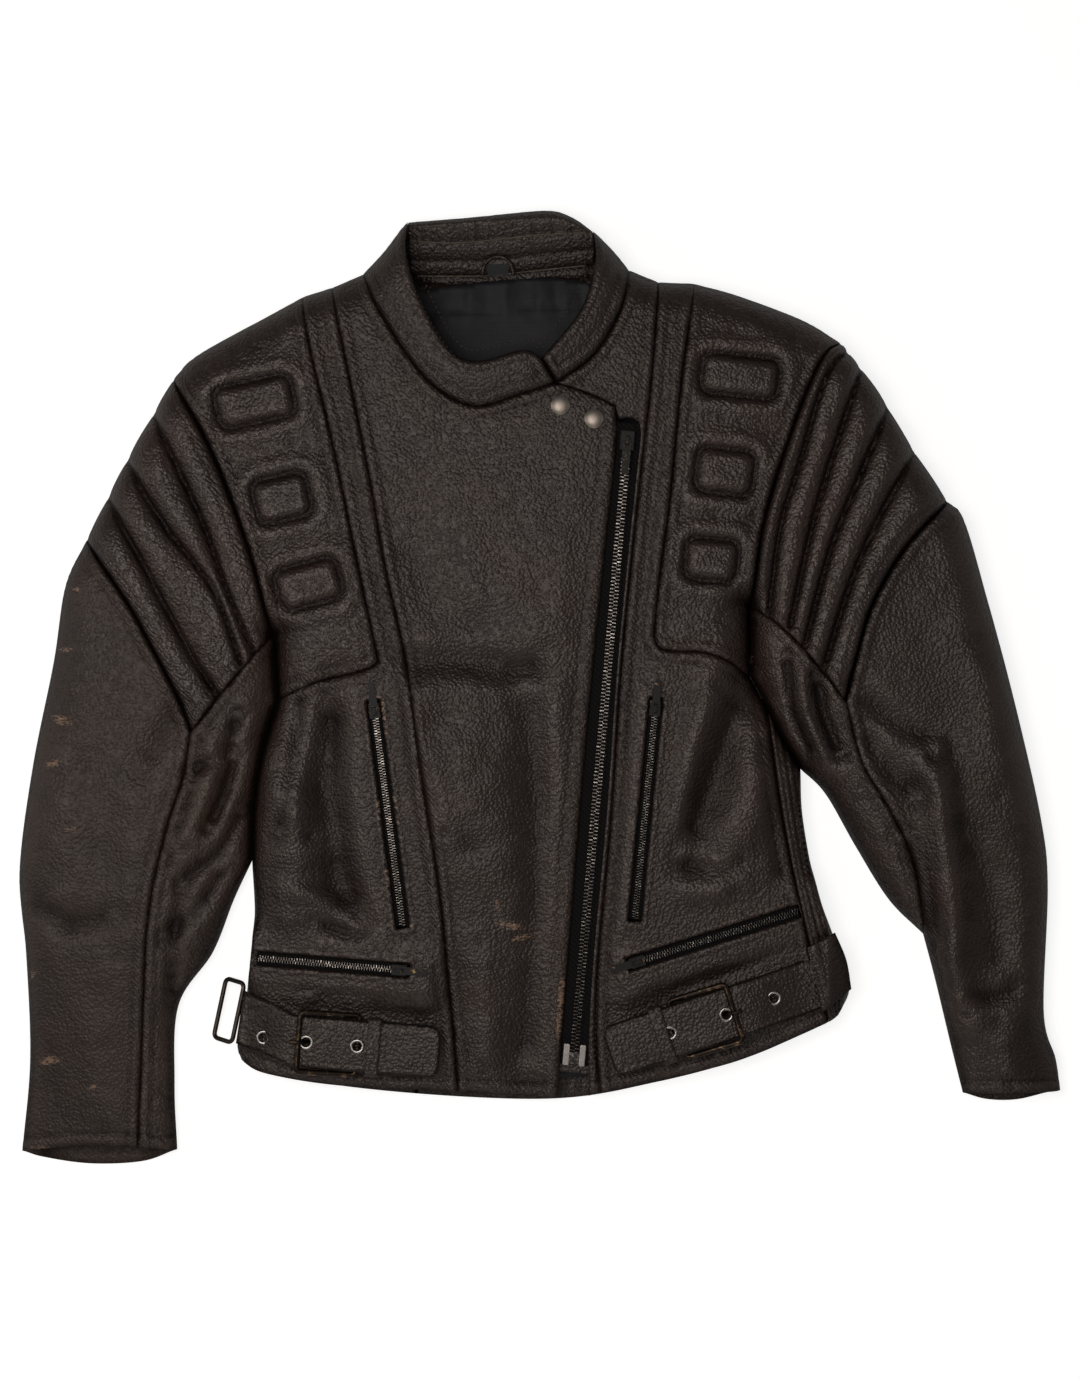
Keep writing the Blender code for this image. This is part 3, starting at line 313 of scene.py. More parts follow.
EDGES = [shoulder_r, strip_r, neck_side_r, collar_edge_r, collar_top, collar_edge_l, neck_side_l,
         strip_l, shoulder_l, arm_top_r, arm_outer_r, arm_inner_r, side_r, side_crease_r, crease_r,
         arm_top_l, arm_outer_l, arm_inner_l, cuff_inner_l, side_l, panel_crease_l, side_crease_l,
         crease_l]

# Zips lie straight, so the sheet is flat along each: (slider end, far end, flat half width)
ZIP_LINES = {"main": ((66, 185), (27, -270), 19.0), "chest_right": ((-123, -17), (-103, -172), 12.0),
             "hand_right": ((-105, -211), (-206, -203), 12.0), "chest_left": ((87, -15), (72.5, -167), 12.0),
             "hand_left": ((74, -205), (188, -169), 12.0)}
# How far the welts lift each end of the two lower zips, and how soon the sheet falls past a tail
ZIP_LIFT = {"hand_right": (4.0, 8.0), "hand_left": (1.0, 2.5)}
TAIL_END, TAIL_FALL = {"hand_right": 9.0}, {"hand_right": 3.0}


def lying(points):
    """Height of the jacket's front as it lies, before the zips straighten it."""
    edge = nearest(points, EDGES, EDGE_REACH)
    full = np.interp(points[:, 1], HEIGHT_STATIONS, HEIGHT_VALUES)
    t = np.clip(edge / ROLL_WIDTH, 0, 1)
    return RIM_HEIGHT + (full - RIM_HEIGHT) * np.sqrt(np.maximum(1 - (1 - t) ** 2.3, 0))


class Zip:
    """A zip's straight line on the jacket."""

    def __init__(self, name):
        head, tail, self.core = ZIP_LINES[name]
        self.name = name
        self.head, self.tail = np.array(head, float), np.array(tail, float)
        self.length = float(np.linalg.norm(self.tail - self.head))
        self.along = (self.tail - self.head) / self.length
        self.across = np.array([-self.along[1], self.along[0]])
        self.head_z = self.tail_z = 0.0

    def measure(self, points):
        d = points - self.head
        return d @ self.along, d @ self.across

    def plane(self, points):
        t = (points - self.head) @ self.along / self.length
        return self.head_z + (self.tail_z - self.head_z) * t

    def away(self, points):
        t, side = self.measure(points)
        past_tail = (t - self.length - TAIL_END.get(self.name, CORE_END)) * TAIL_FALL.get(self.name, 1.0)
        past = np.maximum(np.maximum(-t - CORE_END, past_tail), 0)
        return np.hypot(past, np.maximum(np.abs(side) - self.core, 0))


def cad_lie(points):
    """The design's own height, which sets how high each zip's ends are."""
    edge = nearest(points, EDGES, EDGE_REACH)
    full = np.interp(points[:, 1], HEIGHT_STATIONS, HEIGHT_VALUES)
    return CAD_RIM + (full - CAD_RIM) * np.sin(np.clip(edge / CAD_ROLL, 0, 1) * math.pi / 2)


ZIPS = {name: Zip(name) for name in ZIP_LINES}
for z in ZIPS.values():
    z.head_z, z.tail_z = cad_lie(np.array([z.head, z.tail])) + np.array(ZIP_LIFT.get(z.name, (0.0, 0.0)))

# Folds of the lying jacket: (route, height, half width); a negative height is a valley
FOLDS = [
    ([(-148, -4), (-159, -60), (-153, -130), (-136, -178)], -7.0, 18),
    ([(-196, -60), (-186, -90), (-172, -112)], 5.0, 17),
    ([(-178, 0), (-184, -50), (-196, -110)], -3.0, 7),
    ([(-168, -178), (-135, -186), (-100, -190)], -2.6, 6),
    ([(-190, -150), (-160, -160), (-130, -190)], 2.0, 7),
    ([(-112, 18), (-60, 21), (-20, 14), (10, 22)], -3.4, 12),
    ([(-100, 120), (-70, 60), (-30, 40)], -2.0, 16),
    ([(-10, 5), (-2, -70), (0, -140), (-5, -285)], -4.2, 15),
    ([(-70, -20), (-58, -70), (-50, -120)], 3.6, 26),
    ([(-45, -190), (-40, -240), (-42, -290)], 2.0, 12),
    ([(-95, -8), (-82, -60), (-70, -110)], 2.0, 9),
    ([(132, 4), (112, -56), (100, -118)], 3.4, 13),
    ([(156, 4), (134, -60), (108, -124)], -6.2, 17),
    ([(166, -40), (156, -88), (136, -122)], 3.2, 18),
    ([(172, -30), (176, -90), (184, -150)], -2.6, 9),
    ([(104, -128), (134, -136), (160, -126)], -1.5, 7),
    ([(98, -142), (124, -152), (150, -150)], 1.6, 9),
    ([(95, -225), (140, -212), (190, -190)], -2.0, 6),
    ([(-120, -228), (-160, -226), (-200, -222)], -2.2, 5),
    ([(-150, -217), (-178, -234)], 1.8, 5),
    ([(-228, -50), (-236, -78), (-247, -104)], -5.0, 6),
    ([(-224, -20), (-238, -50), (-262, -62)], -3.4, 6),
    ([(-240, -40), (-252, -84), (-266, -120)], 3.0, 8),
    ([(-222, -90), (-240, -122), (-268, -146)], -3.6, 6),
    ([(-234, -132), (-256, -165), (-280, -186)], -3.0, 7),
    ([(-268, -150), (-274, -184), (-276, -235)], -2.6, 6),
    ([(-300, -60), (-306, -130), (-318, -200)], 2.4, 20),
    ([(-386, -160), (-350, -176), (-316, -170)], -2.2, 9),
    ([(-340, -60), (-352, -120), (-350, -180)], 2.6, 24),
    ([(-330, -230), (-336, -280), (-330, -330)], 2.0, 20),
    ([(-262, 0), (-285, -40), (-300, -60)], -2.4, 10),
    ([(208, 8), (214, -22), (226, -50)], -4.2, 6),
    ([(196, 22), (200, -20), (214, -58)], 2.6, 7),
    ([(186, 24), (190, -16), (206, -52)], -3.4, 5),
    ([(240, -30), (262, -60), (284, -82)], -3.0, 9),
    ([(238, 0), (262, -22), (300, -42)], -2.6, 10),
    ([(292, -50), (302, -100), (309, -160), (309, -212), (320, -246)], 5.6, 11),
    ([(272, -110), (288, -150), (296, -186)], -2.8, 8),
    ([(330, 40), (338, -20), (345, -80)], 3.0, 22),
    ([(322, -110), (340, -160), (346, -220)], -2.8, 14),
    ([(345, -250), (352, -280), (356, -300)], 2.0, 12),
    ([(306, -222), (330, -232), (366, -226)], -2.0, 8),
]
FOLD_DEPTH = 1.5
FOLDS = [(spline(route, 8.0), height, width) for route, height, width in FOLDS]

# Cord lines of the padded upper-arm panels, between the armhole seam and the panel's lower seam
RIBS_R = [armhole_r,
          spline([(-291, 208), (-270, 165), (-250, 120), (-232, 70), (-213, 25)]),
          spline([(-311, 173), (-280, 122), (-243, 73), (-222, 16)]),
          spline([(-325, 145), (-300, 100), (-260, 25), (-240, -6)]),
          rib_low_r]
RIBS_L = [armhole_l,
          spline([(236, 256), (215, 235), (195, 170), (180, 120), (172, 56)]),
          spline([(243, 243), (226, 195), (205, 125), (187, 43)]),
          spline([(262, 211), (238, 155), (218, 105), (198, 31)]),
          spline([(284, 180), (258, 135), (235, 85), (212, 13)]),
          rib_low_l]
# Raised pads of the yokes: centre, length, height, turn in degrees
PAD_CORNER = 7
PADS = [((-212, 214), 55, 28, 12), ((-192, 142), 38, 30, 13), ((-172, 78), 45, 28, 15),
        ((150, 233), 55, 27, -6), ((139, 162), 40, 30, -7), ((129, 96), 36, 28, -5)]
SEAMS = [yoke_in_r, yoke_low_r, armhole_r, princess_r, collar_seam_r, rib_low_r, rib_under_r, arm_seam_r,
         yoke_in_l, yoke_low_l, armhole_l, princess_l, collar_seam_l, rib_low_l, rib_under_l, arm_seam_l,
         side_seam_l, tab, neck_side_r]


HEMS = [hem_side_r, hem_front_r, hem_side_l, hem_front_l, hem_panel_l, cuff_top_r, cuff_under_r, cuff_l]
SEWN = SEAMS + HEMS + [flap_edge, flap_top, welt_l, collar_in_r, collar_in_l]


def pad_rise(points):
    """Embossed pads: a rounded slab pressed up through the leather, with a sewn ditch round it."""
    rise = np.zeros(len(points))
    for centre, length, height, turn in PADS:
        a = math.radians(turn)
        d = points - np.array(centre)
        x = np.abs(d[:, 0] * math.cos(a) + d[:, 1] * math.sin(a)) - (length / 2 - PAD_CORNER)
        y = np.abs(-d[:, 0] * math.sin(a) + d[:, 1] * math.cos(a)) - (height / 2 - PAD_CORNER)
        out = np.hypot(np.maximum(x, 0), np.maximum(y, 0)) + np.minimum(np.maximum(x, y), 0) - PAD_CORNER
        t = np.clip((2.0 - out) / 8.0, 0, 1)
        rise += 3.2 * t * t * (3 - 2 * t) - 2.0 * np.exp(-((out - 1.8) / 2.2) ** 2)
        rise += 1.7 * np.exp(-((out - 10.0) / 6.0) ** 2)
    return rise


def cords(points, lines, rise):
    """Padded cords sewn between lines: nought at each line, full half way to the next."""
    apart = np.sort(np.array([distance(points, line[::2]) for line in lines]), axis=0)
    t = (apart[1] - apart[0]) / np.maximum(apart[1] + apart[0], 1e-6)
    return rise * (np.sqrt(np.maximum(1 - t * t, 0)) - 0.6) - 0.14 * rise * np.exp(-(apart[0] / 1.5) ** 2)


def shell(points):
    """Height of the finished leather front: lie, folds, seams, pads and welts."""
    lie = lying(points)
    low, high = points.min(0) - 50, points.max(0) + 50
    for route, height, width in FOLDS:
        if (route.max(0) < low).any() or (route.min(0) > high).any():
            continue
        d = distance(points, route)
        first = np.linalg.norm(points - route[0], axis=1)
        last = np.linalg.norm(points - route[-1], axis=1)
        fade = np.clip(np.minimum(first, last) / (1.6 * width) + 0.25, 0, 1)
        lie = lie + height * FOLD_DEPTH * fade * np.exp(-(d / width) ** 2)
    edge = nearest(points, EDGES, 30.0)
    soft = np.clip(edge / 22.0, 0.0, 1)
    stretch = points * np.array([1.0, 0.6])
    lie = lie + soft * (1.3 * unevenness(stretch, 46, 3) + 0.55 * unevenness(points, 17, 4)
                        + 0.22 * unevenness(points, 7.5, 5))
    away = [z.away(points) for z in ZIPS.values()]
    total, added = np.zeros(len(points)), np.zeros(len(points))
    for i, z in enumerate(ZIPS.values()):
        near = np.clip(1 - away[i] / CORE_BLEND, 0, 1)
        near = near * near * (3 - 2 * near)
        for j in range(len(away)):
            if j != i:
                near = near * np.clip(away[j] / 2.0, 0, 1)
        total, added = total + near, added + near * z.plane(points)
    rest = np.clip(1 - total, 0, 1)
    height = (added + rest * lie) / (total + rest)
    seam = nearest(points, SEAMS, 30.0)
    height = height - 0.9 * np.exp(-(seam / 0.9) ** 2) + 0.8 * np.exp(-((seam - 4.2) / 2.6) ** 2)
    hem = nearest(points, HEMS, 30.0)
    height = height + 0.9 * np.exp(-((hem - 4.5) / 3.2) ** 2) - 1.0 * np.exp(-((hem - 9.6) / 1.1) ** 2)
    height = height - 0.6 * np.exp(-((seam - 8.6) / 1.0) ** 2)
    return height


def inside(points, outline):
    """Which points are inside a closed outline."""
    x, y = points[:, 0], points[:, 1]
    odd = np.zeros(len(points), bool)
    for (x0, y0), (x1, y1) in zip(outline, np.roll(outline, -1, axis=0)):
        if y0 == y1:
            continue
        crosses = (y0 > y) != (y1 > y)
        odd ^= crosses & (x < (x1 - x0) * (y - y0) / (y1 - y0) + x0)
    return odd


def inset(outline, by):
    """The outline moved inwards by a small distance."""
    area = np.sum(outline[:, 0] * np.roll(outline[:, 1], -1) - np.roll(outline[:, 0], -1) * outline[:, 1])
    if area < 0:
        outline = outline[::-1]
    before = outline - np.roll(outline, 1, axis=0)
    after = np.roll(outline, -1, axis=0) - outline
    n0 = np.column_stack([-before[:, 1], before[:, 0]]) / np.linalg.norm(before, axis=1)[:, None]
    n1 = np.column_stack([-after[:, 1], after[:, 0]]) / np.linalg.norm(after, axis=1)[:, None]
    mid = n0 + n1
    size = np.maximum((mid * n0).sum(1), 0.35)
    return outline + by * mid / size[:, None]


def piece(name, verts, faces, material, smooth=True, body="jacket", slot="leather", stands_for=()):
    """A mesh object from points in millimetres, riding on a body."""
    mesh = bpy.data.meshes.new(name)
    mesh.from_pydata((np.asarray(verts, float) * MM).tolist(), [], [tuple(f) for f in faces])
    mesh.materials.append(material)
    if smooth:
        mesh.shade_smooth()
    made = bpy.data.objects.new(name, mesh)
    bpy.context.collection.objects.link(made)
    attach(made, body)
    if stands_for:
        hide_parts(*stands_for)
    return made


# A point counts as hollow when it lies under the mean of its neighbourhood, this many
# rounds of neighbours wide; the painted shade starts and is full at these millimetres under.
HOLLOW_ROUNDS, HOLLOW_FROM, HOLLOW_FULL = 7, 0.14, 1.1


CUT_PANELS = []


def fine_sheet(name, outline, top, material, thick=LEATHER, step=FINE_STEP, holes=(), gap=0.06,
               body="jacket", slot="leather", stands_for=(), wear=None, painted_edge_shade=False):
    """A sewn panel: a closed sheet of even thickness over a plan outline, with its holes.
    On a strap, its cut edge is darkened with painted shade and a band just inside it lightened with a painted
    highlight."""
    rim = inset(outline, gap)
    CUT_PANELS.append(rim)
    loops = [rim] + [np.array(h, float) for h in holes]
    points = [tuple(p) for loop in loops for p in loop]
    edges, start = [], 0
    for loop in loops:
        edges += [(start + i, start + (i + 1) % len(loop)) for i in range(len(loop))]
        start += len(loop)
    low, high = rim.min(0), rim.max(0)
    rows = int((high[1] - low[1]) / (step * 0.866)) + 1
    columns = int((high[0] - low[0]) / step) + 2
    i, j = np.meshgrid(np.arange(columns), np.arange(rows))
    grid = np.column_stack([(low[0] + (i + 0.5 * (j % 2)) * step).ravel(),
                            (low[1] + j * step * 0.866).ravel()])
    keep = inside(grid, rim)
    grid = grid[keep]
    keep = np.ones(len(grid), bool)
    for loop in loops:
        keep &= distance(grid, np.vstack([loop, loop[:1]])) > 0.5 * step
    for loop in loops[1:]:
        keep &= ~inside(grid, loop)
    points += [tuple(p) for p in grid[keep]]
    verts, _, faces, *_ = delaunay_2d_cdt([Vector(p) for p in points], edges, [], 0, 1e-5)
    flat = np.array([(v.x, v.y) for v in verts])
    faces = np.array([tuple(f) for f in faces])
    middle = flat[faces].mean(1)
    wanted = inside(middle, rim)
    for loop in loops[1:]:
        wanted &= ~inside(middle, loop)
    faces = faces[wanted]
    used, faces = np.unique(faces, return_inverse=True)
    faces = faces.reshape(-1, 3)
    flat = flat[used]
    upper = top(flat)
    count = len(flat)
    sides = {(int(a), int(b)) for f in faces for a, b in ((f[0], f[1]), (f[1], f[2]), (f[2], f[0]))}
    walls = [(b, a, a + count, b + count) for a, b in sides if (b, a) not in sides]
    walls.sort()
    verts = np.vstack([np.column_stack([flat, upper]), np.column_stack([flat, upper - thick])])
    every = [tuple(int(k) for k in f) for f in faces] + [tuple(int(k) + count for k in f[::-1])
            for f in faces]
    made = piece(name, verts, every + walls, material, body=body, slot=slot, stands_for=stands_for)
    ends = np.vstack([faces[:, (0, 1)], faces[:, (1, 2)], faces[:, (2, 0)]])
    ends = np.vstack([ends, ends[:, ::-1]])
    links = np.maximum(np.bincount(ends[:, 0], minlength=count), 1)
    # How far each point lies under its neighbourhood's mean: the hide's shader paints shade into the hollows
    # and light onto the ridges from it.
    mean = upper.copy()
    for _ in range(HOLLOW_ROUNDS):
        mean = np.bincount(ends[:, 0], weights=mean[ends[:, 1]], minlength=count) / links
    sunk = np.sign(mean - upper) * np.maximum(np.abs(mean - upper) - HOLLOW_FROM, 0) / HOLLOW_FULL
    seam = nearest(flat, SEWN, 20.0)
    drawn = np.clip((seam - 1.2) / 1.5, 0, 1) * np.clip((10.5 - seam) / 2.5, 0, 1)
    layer = made.data.attributes.new("pucker", "FLOAT", "POINT")
    layer.data.foreach_set("value", np.tile(drawn, 2).astype(np.float32))
    # Painted shade along a strap's cut edge, and a painted highlight on a band just inside it.
    if painted_edge_shade:
        edge = distance(flat, np.vstack([rim, rim[:1]]))
        sunk = np.maximum(sunk, 1.6 * np.exp(-(edge / 1.7) ** 2)) - 0.9 * np.exp(-((edge - 3.4) / 1.0) ** 2)
    layer = made.data.attributes.new("hollow", "FLOAT", "POINT")
    layer.data.foreach_set("value", np.tile(np.clip(sunk, -1, 1), 2).astype(np.float32))
    if wear is not None:
        layer = made.data.attributes.new("wear", "FLOAT", "POINT")
        layer.data.foreach_set("value", np.tile(wear(flat, upper), 2).astype(np.float32))
    return made


# Full-grain cowhide, chrome tanned, drum dyed and pigment finished: a pebbled semi-gloss face
# whose cells are about 2 mm, with finer pores, and the tan hide where the finish has rubbed off.
PEBBLE_MM, CREASE_MM = 2.3, 5.0
STITCH_PITCH = 4.3


def cowhide(name, dark, light, rough, creased=0.2):
    made, tree, shader = surface(name)
    where = add(tree, "TexCoord").outputs["Object"]
    wander = add(tree, "TexNoise", {"Vector": where, "Scale": 1 / (6 * MM), "Detail": 2.0})
    bent = add(tree, "VectorMath", {0: wander.outputs["Color"], 1: (0.0016, 0.0016, 0.0016)},
               operation="MULTIPLY")
    bent = add(tree, "VectorMath", {0: where, 1: bent.outputs[0]}, operation="ADD").outputs[0]
    cells = add(tree, "TexVoronoi", {"Vector": bent, "Scale": 1 / (PEBBLE_MM * MM), "Smoothness": 0.35},
                feature="SMOOTH_F1")
    creases = add(tree, "TexVoronoi", {"Vector": bent, "Scale": 1 / (CREASE_MM * MM)},
                  feature="DISTANCE_TO_EDGE")
    pores = add(tree, "TexNoise", {"Vector": where, "Scale": 1 / (0.9 * MM), "Detail": 3.0})
    patches = add(tree, "TexNoise",
                  {"Vector": where, "Scale": 1 / (55 * MM), "Detail": 4.0, "Roughness": 0.6})
    line = add(tree, "MapRange", {"Value": creases.outputs["Distance"], "From Min": 0.0, "From Max": 0.3,
                                  "To Min": 0.0, "To Max": 1.0})
    where_creased = add(tree, "MapRange",
                        {"Value": patches.outputs["Fac"], "From Min": 0.42, "From Max": 0.62,
                                           "To Min": 0.15, "To Max": creased * 2})
    dome = add(tree, "MapRange", {"Value": cells.outputs["Distance"], "From Min": 0.0, "From Max": 0.75,
                                  "To Min": 1.0, "To Max": 0.0})
    first = add(tree, "Bump", {"Height": dome.outputs[0], "Strength": 0.85, "Distance": 0.0006})
    second = add(tree, "Bump",
                 {"Height": line.outputs[0], "Strength": where_creased.outputs[0], "Distance": 0.0004,
                                "Normal": first.outputs[0]})
    third = add(tree, "Bump", {"Height": pores.outputs["Fac"], "Strength": 0.16, "Distance": 0.0003,
                               "Normal": second.outputs[0]})
    # The topstitching draws the leather into small ridges, one to a stitch.
    ridges = add(tree, "TexWave", {"Vector": where, "Scale": 0.628 / (STITCH_PITCH * MM), "Distortion": 3.0,
                                   "Detail": 2.0, "Detail Scale": 3.0}, bands_direction="DIAGONAL")
    sewn = add(tree, "Attribute", attribute_name="pucker")
    pulled = add(tree, "Math", {0: sewn.outputs["Fac"], 1: 0.5}, operation="MULTIPLY")
    fourth = add(tree, "Bump",
                 {"Height": ridges.outputs["Fac"], "Strength": pulled.outputs[0], "Distance": 0.0006,
                                "Normal": third.outputs[0]})
    tree.links.new(fourth.outputs[0], shader.inputs["Normal"])
    tone = add(tree, "MapRange", {"Value": patches.outputs["Fac"], "From Min": 0.35, "From Max": 0.7})
    base = add(tree, "Mix", {0: tone.outputs[0], 6: srgb(dark), 7: srgb(light)}, data_type="RGBA")
    rubbed = add(tree, "Attribute", attribute_name="wear")
    streak = add(tree, "Mapping", {"Vector": where, "Scale": (260, 900, 300), "Rotation": (0, 0, 0.25)})
    scratch = add(tree, "TexNoise",
                  {"Vector": streak.outputs[0], "Scale": 1.0, "Detail": 5.0, "Roughness": 0.7})
    broken = add(tree, "MapRange", {"Value": scratch.outputs["Fac"], "From Min": 0.4, "From Max": 0.6})
    bare = add(tree, "Math", {0: rubbed.outputs["Fac"], 1: broken.outputs[0]}, operation="MULTIPLY")
    bare = add(tree, "MapRange", {"Value": bare.outputs[0], "From Min": 0.24, "From Max": 0.4})
    colour = add(tree, "Mix", {0: bare.outputs[0], 6: base.outputs[2], 7: srgb("#7d6350")}, data_type="RGBA")
    # Painted shade: hollows under their neighbours get a darker colour and less specular, and ridges a lighter
    # colour and more, standing in for how light falls on them.
    sunk = add(tree, "Attribute", attribute_name="hollow")
    painted_cavity_shade = add(tree, "MapRange", {"Value": sunk.outputs["Fac"], "From Min": -0.6, "From Max": 0.8,
                                  "To Min": 1.15, "To Max": 0.5})
    cavity_shaded_colour = add(tree, "VectorMath", {0: colour.outputs[2], "Scale": painted_cavity_shade.outputs[0]}, operation="SCALE")
    tree.links.new(cavity_shaded_colour.outputs[0], shader.inputs["Base Color"])
    glint = add(tree, "MapRange", {"Value": sunk.outputs["Fac"], "From Min": -0.4, "From Max": 0.9,
                                   "To Min": 0.6, "To Max": 0.2})
    tree.links.new(glint.outputs[0], shader.inputs["Specular IOR Level"])
    gloss = add(tree, "MapRange", {"Value": pores.outputs["Fac"], "From Min": 0.3, "From Max": 0.7,
                                   "To Min": rough - 0.05, "To Max": rough + 0.09})
    tree.links.new(gloss.outputs[0], shader.inputs["Roughness"])
    shader.inputs["Specular Tint"].default_value = (1.0, 0.93, 0.88, 1.0)
    shader.inputs["IOR"].default_value = 1.5
    return made


body_hide = cowhide("cowhide_full_grain_body", "#1a110e", "#291c17", 0.44)
yoke_hide = cowhide("cowhide_full_grain_padded", "#1a110e", "#2a1c17", 0.42, 0.3)
arm_hide = cowhide("cowhide_full_grain_sleeve", "#211713", "#30221b", 0.5)
collar_hide = cowhide("cowhide_full_grain_collar", "#1b1411", "#281e1a", 0.44, 0.4)


def slot_field(points, names):
    """Distance outside each pocket slot's opening."""
    best = np.full(len(points), 99.0)
    for name in names:
        z = ZIPS[name]
        t, side = z.measure(points)
        x = np.abs(t - z.length / 2) - (z.length / 2 + 8.0)
        y = np.abs(side) - SLOT_HALF
        out = np.hypot(np.maximum(x, 0), np.maximum(y, 0)) + np.minimum(np.maximum(x, y), 0)
        best = np.minimum(best, out)
    return best


SLOT_HALF = 5.0
WELT = 4.6               # width of the turned leather edge round a slot


def welted(names):
    """Front leather with a rolled, top-stitched welt round each pocket slot."""
    def height(points):
        out = slot_field(points, names)
        lip = 1.0 * np.exp(-((out - 2.2) / 1.7) ** 2) - 0.8 * np.exp(-((out - WELT) / 0.8) ** 2)
        return shell(points) + lip - 0.9 * np.exp(-(out / 0.8) ** 2)
    return height


def slot_hole(name):
    z = ZIPS[name]
    a, b = z.head - 8.0 * z.along, z.tail + 8.0 * z.along
    count = round(np.linalg.norm(b - a) / 2.5)
    side = [a + (b - a) * k / count for k in range(count + 1)]
    return [p + SLOT_HALF * z.across for p in side] + [p - SLOT_HALF * z.across for p in reversed(side)]


def blobs(points, spots):
    """Soft marks: (x, y, length, width, turn in degrees, strength)."""
    value = np.zeros(len(points))
    for x, y, length, width, turn, strength in spots:
        a = math.radians(turn)
        d = points - np.array([x, y])
        u = (d[:, 0] * math.cos(a) + d[:, 1] * math.sin(a)) / length
        v = (-d[:, 0] * math.sin(a) + d[:, 1] * math.cos(a)) / width
        value = np.maximum(value, strength * np.exp(-(u * u + v * v)))
    return value


SLOT_RUB = {"chest_right": 1.4, "chest_left": 0.5, "hand_right": 0.4, "hand_left": 0.35}


def slot_wear(names, extra=()):
    """The finish has rubbed through along stretches of the pocket welts."""
    def worn(points, height):
        along = np.clip(unevenness(points, 23, 11) + 0.45, 0, 1)
        value = blobs(points, extra)
        for name in names:
            out = slot_field(points, [name])
            value = np.maximum(value, SLOT_RUB[name] * along * np.exp(-((out - 1.2) / 1.0) ** 2))
        return value
    return worn


# Small sewn welt under the collar: centre, size and turn
WELT_AT, WELT_SIZE, WELT_TURN = (-15.0, 210.5), (37.0, 9.0), 15.0


def flap_front(points):
    """Right front: its free edge is turned under and top-stitched."""
    free = nearest(points, [flap_edge, flap_top], 30.0)
    a = math.radians(WELT_TURN)
    d = points - np.array(WELT_AT)
    x = np.abs(d[:, 0] * math.cos(a) + d[:, 1] * math.sin(a)) - WELT_SIZE[0] / 2
    y = np.abs(-d[:, 0] * math.sin(a) + d[:, 1] * math.cos(a)) - WELT_SIZE[1] / 2
    frame_line = np.hypot(np.maximum(x, 0), np.maximum(y, 0)) + np.minimum(np.maximum(x, y), 0)
    slit = np.hypot(np.maximum(x + 4, 0), y + WELT_SIZE[1] / 2)
    sewn = -0.8 * np.exp(-(frame_line / 0.9) ** 2) - 1.1 * np.exp(-(slit / 0.8) ** 2)
    return shell(points) + sewn - 0.9 * np.exp(-(free / 1.2) ** 2) + 0.5 * np.exp(-((free - 6) / 3.5) ** 2) \
        - 0.7 * np.exp(-((free - 11) / 0.9) ** 2)


def flap_wear(points, height):
    free = nearest(points, [flap_edge], 30.0)
    low = np.clip(np.minimum((points[:, 1] + 275) / 20, (-205 - points[:, 1]) / 20), 0, 1)
    spots = [(-31, -164, 9, 2.6, -72, 0.6), (-21, -178, 12, 3.4, -14, 0.8), (-13, -187, 10, 2.6, 12, 0.8),
             (-28, -172, 16, 9, -30, 0.3), (-93, -128, 7, 5, 10, 0.35)]
    return np.maximum(0.9 * low * np.exp(-((free - 3) / 2.4) ** 2), blobs(points, spots))


fine_sheet("front_right_leather",
           chain_of(neck_side_r, collar_seam_r, flap_top, flap_edge, back(hem_front_r),
                                           back(princess_r)), flap_front, body_hide,
           stands_for=["front_right"], wear=flap_wear)
fine_sheet("front_left_leather", chain_of(neck_side_l, princess_l, back(hem_front_l), back(welt_l), zip_head,
                                          back(flap_top), back(collar_seam_l)), shell, body_hide,
           stands_for=["front_left"], gap=0.3)
fine_sheet("side_front_right_leather", chain_of(strip_r, princess_r, back(hem_side_r), back(side_r),
                                                back(side_crease_r), back(yoke_low_r), back(yoke_in_r)),
           welted(["chest_right", "hand_right"]), body_hide,
           holes=[slot_hole("chest_right"), slot_hole("hand_right")],
           stands_for=["side_front_right"], wear=slot_wear(["chest_right", "hand_right"]))
fine_sheet("side_front_left_leather", chain_of(strip_l, yoke_in_l, yoke_low_l, side_crease_l, side_seam_l,
                                               back(hem_side_l), back(princess_l)),
           welted(["chest_left", "hand_left"]), body_hide,
           holes=[slot_hole("chest_left"), slot_hole("hand_left")],
           stands_for=["side_front_left"], wear=slot_wear(["chest_left", "hand_left"]))


# ---------------------------------------------------------------- padded yokes
# Shoulder panels quilted over foam, with three pads pressed up on each side; the leather
# is drawn into small creases between them.

def yoke(points):
    pull = np.clip(1 - np.abs(pad_rise(points)) / 3, 0, 1)
    crinkle = 1 - np.abs(unevenness(points * np.array([1.0, 1.35]), 8.5, 21))
    return shell(points) + pad_rise(points) - 0.6 * pull * crinkle ** 8 \
        - 0.25 * pull * (1 - np.abs(unevenness(points, 5.0, 22))) ** 8


for side, outline in (("right",
                       chain_of(shoulder_r, yoke_in_r, yoke_low_r, back(crease_r), back(armhole_r))),
                      ("left", chain_of(shoulder_l, armhole_l, crease_l, back(yoke_low_l),
                                        back(yoke_in_l)))):
    made = fine_sheet(f"yoke_{side}_leather", outline, yoke, yoke_hide, stands_for=[f"yoke_{side}"],
                      step=2.2)


# ---------------------------------------------------------------- sleeves
# Two-piece sleeves with a corded, padded cap: cords of wadding sewn between two layers.

def ribbed(lines):
    def height(points):
        cross = unevenness(points * np.array([0.6, 1.0]), 9.0, 31)
        return shell(points) + cords(points, lines, 11.0) - 0.5 * (1 - np.abs(cross)) ** 8
    return height


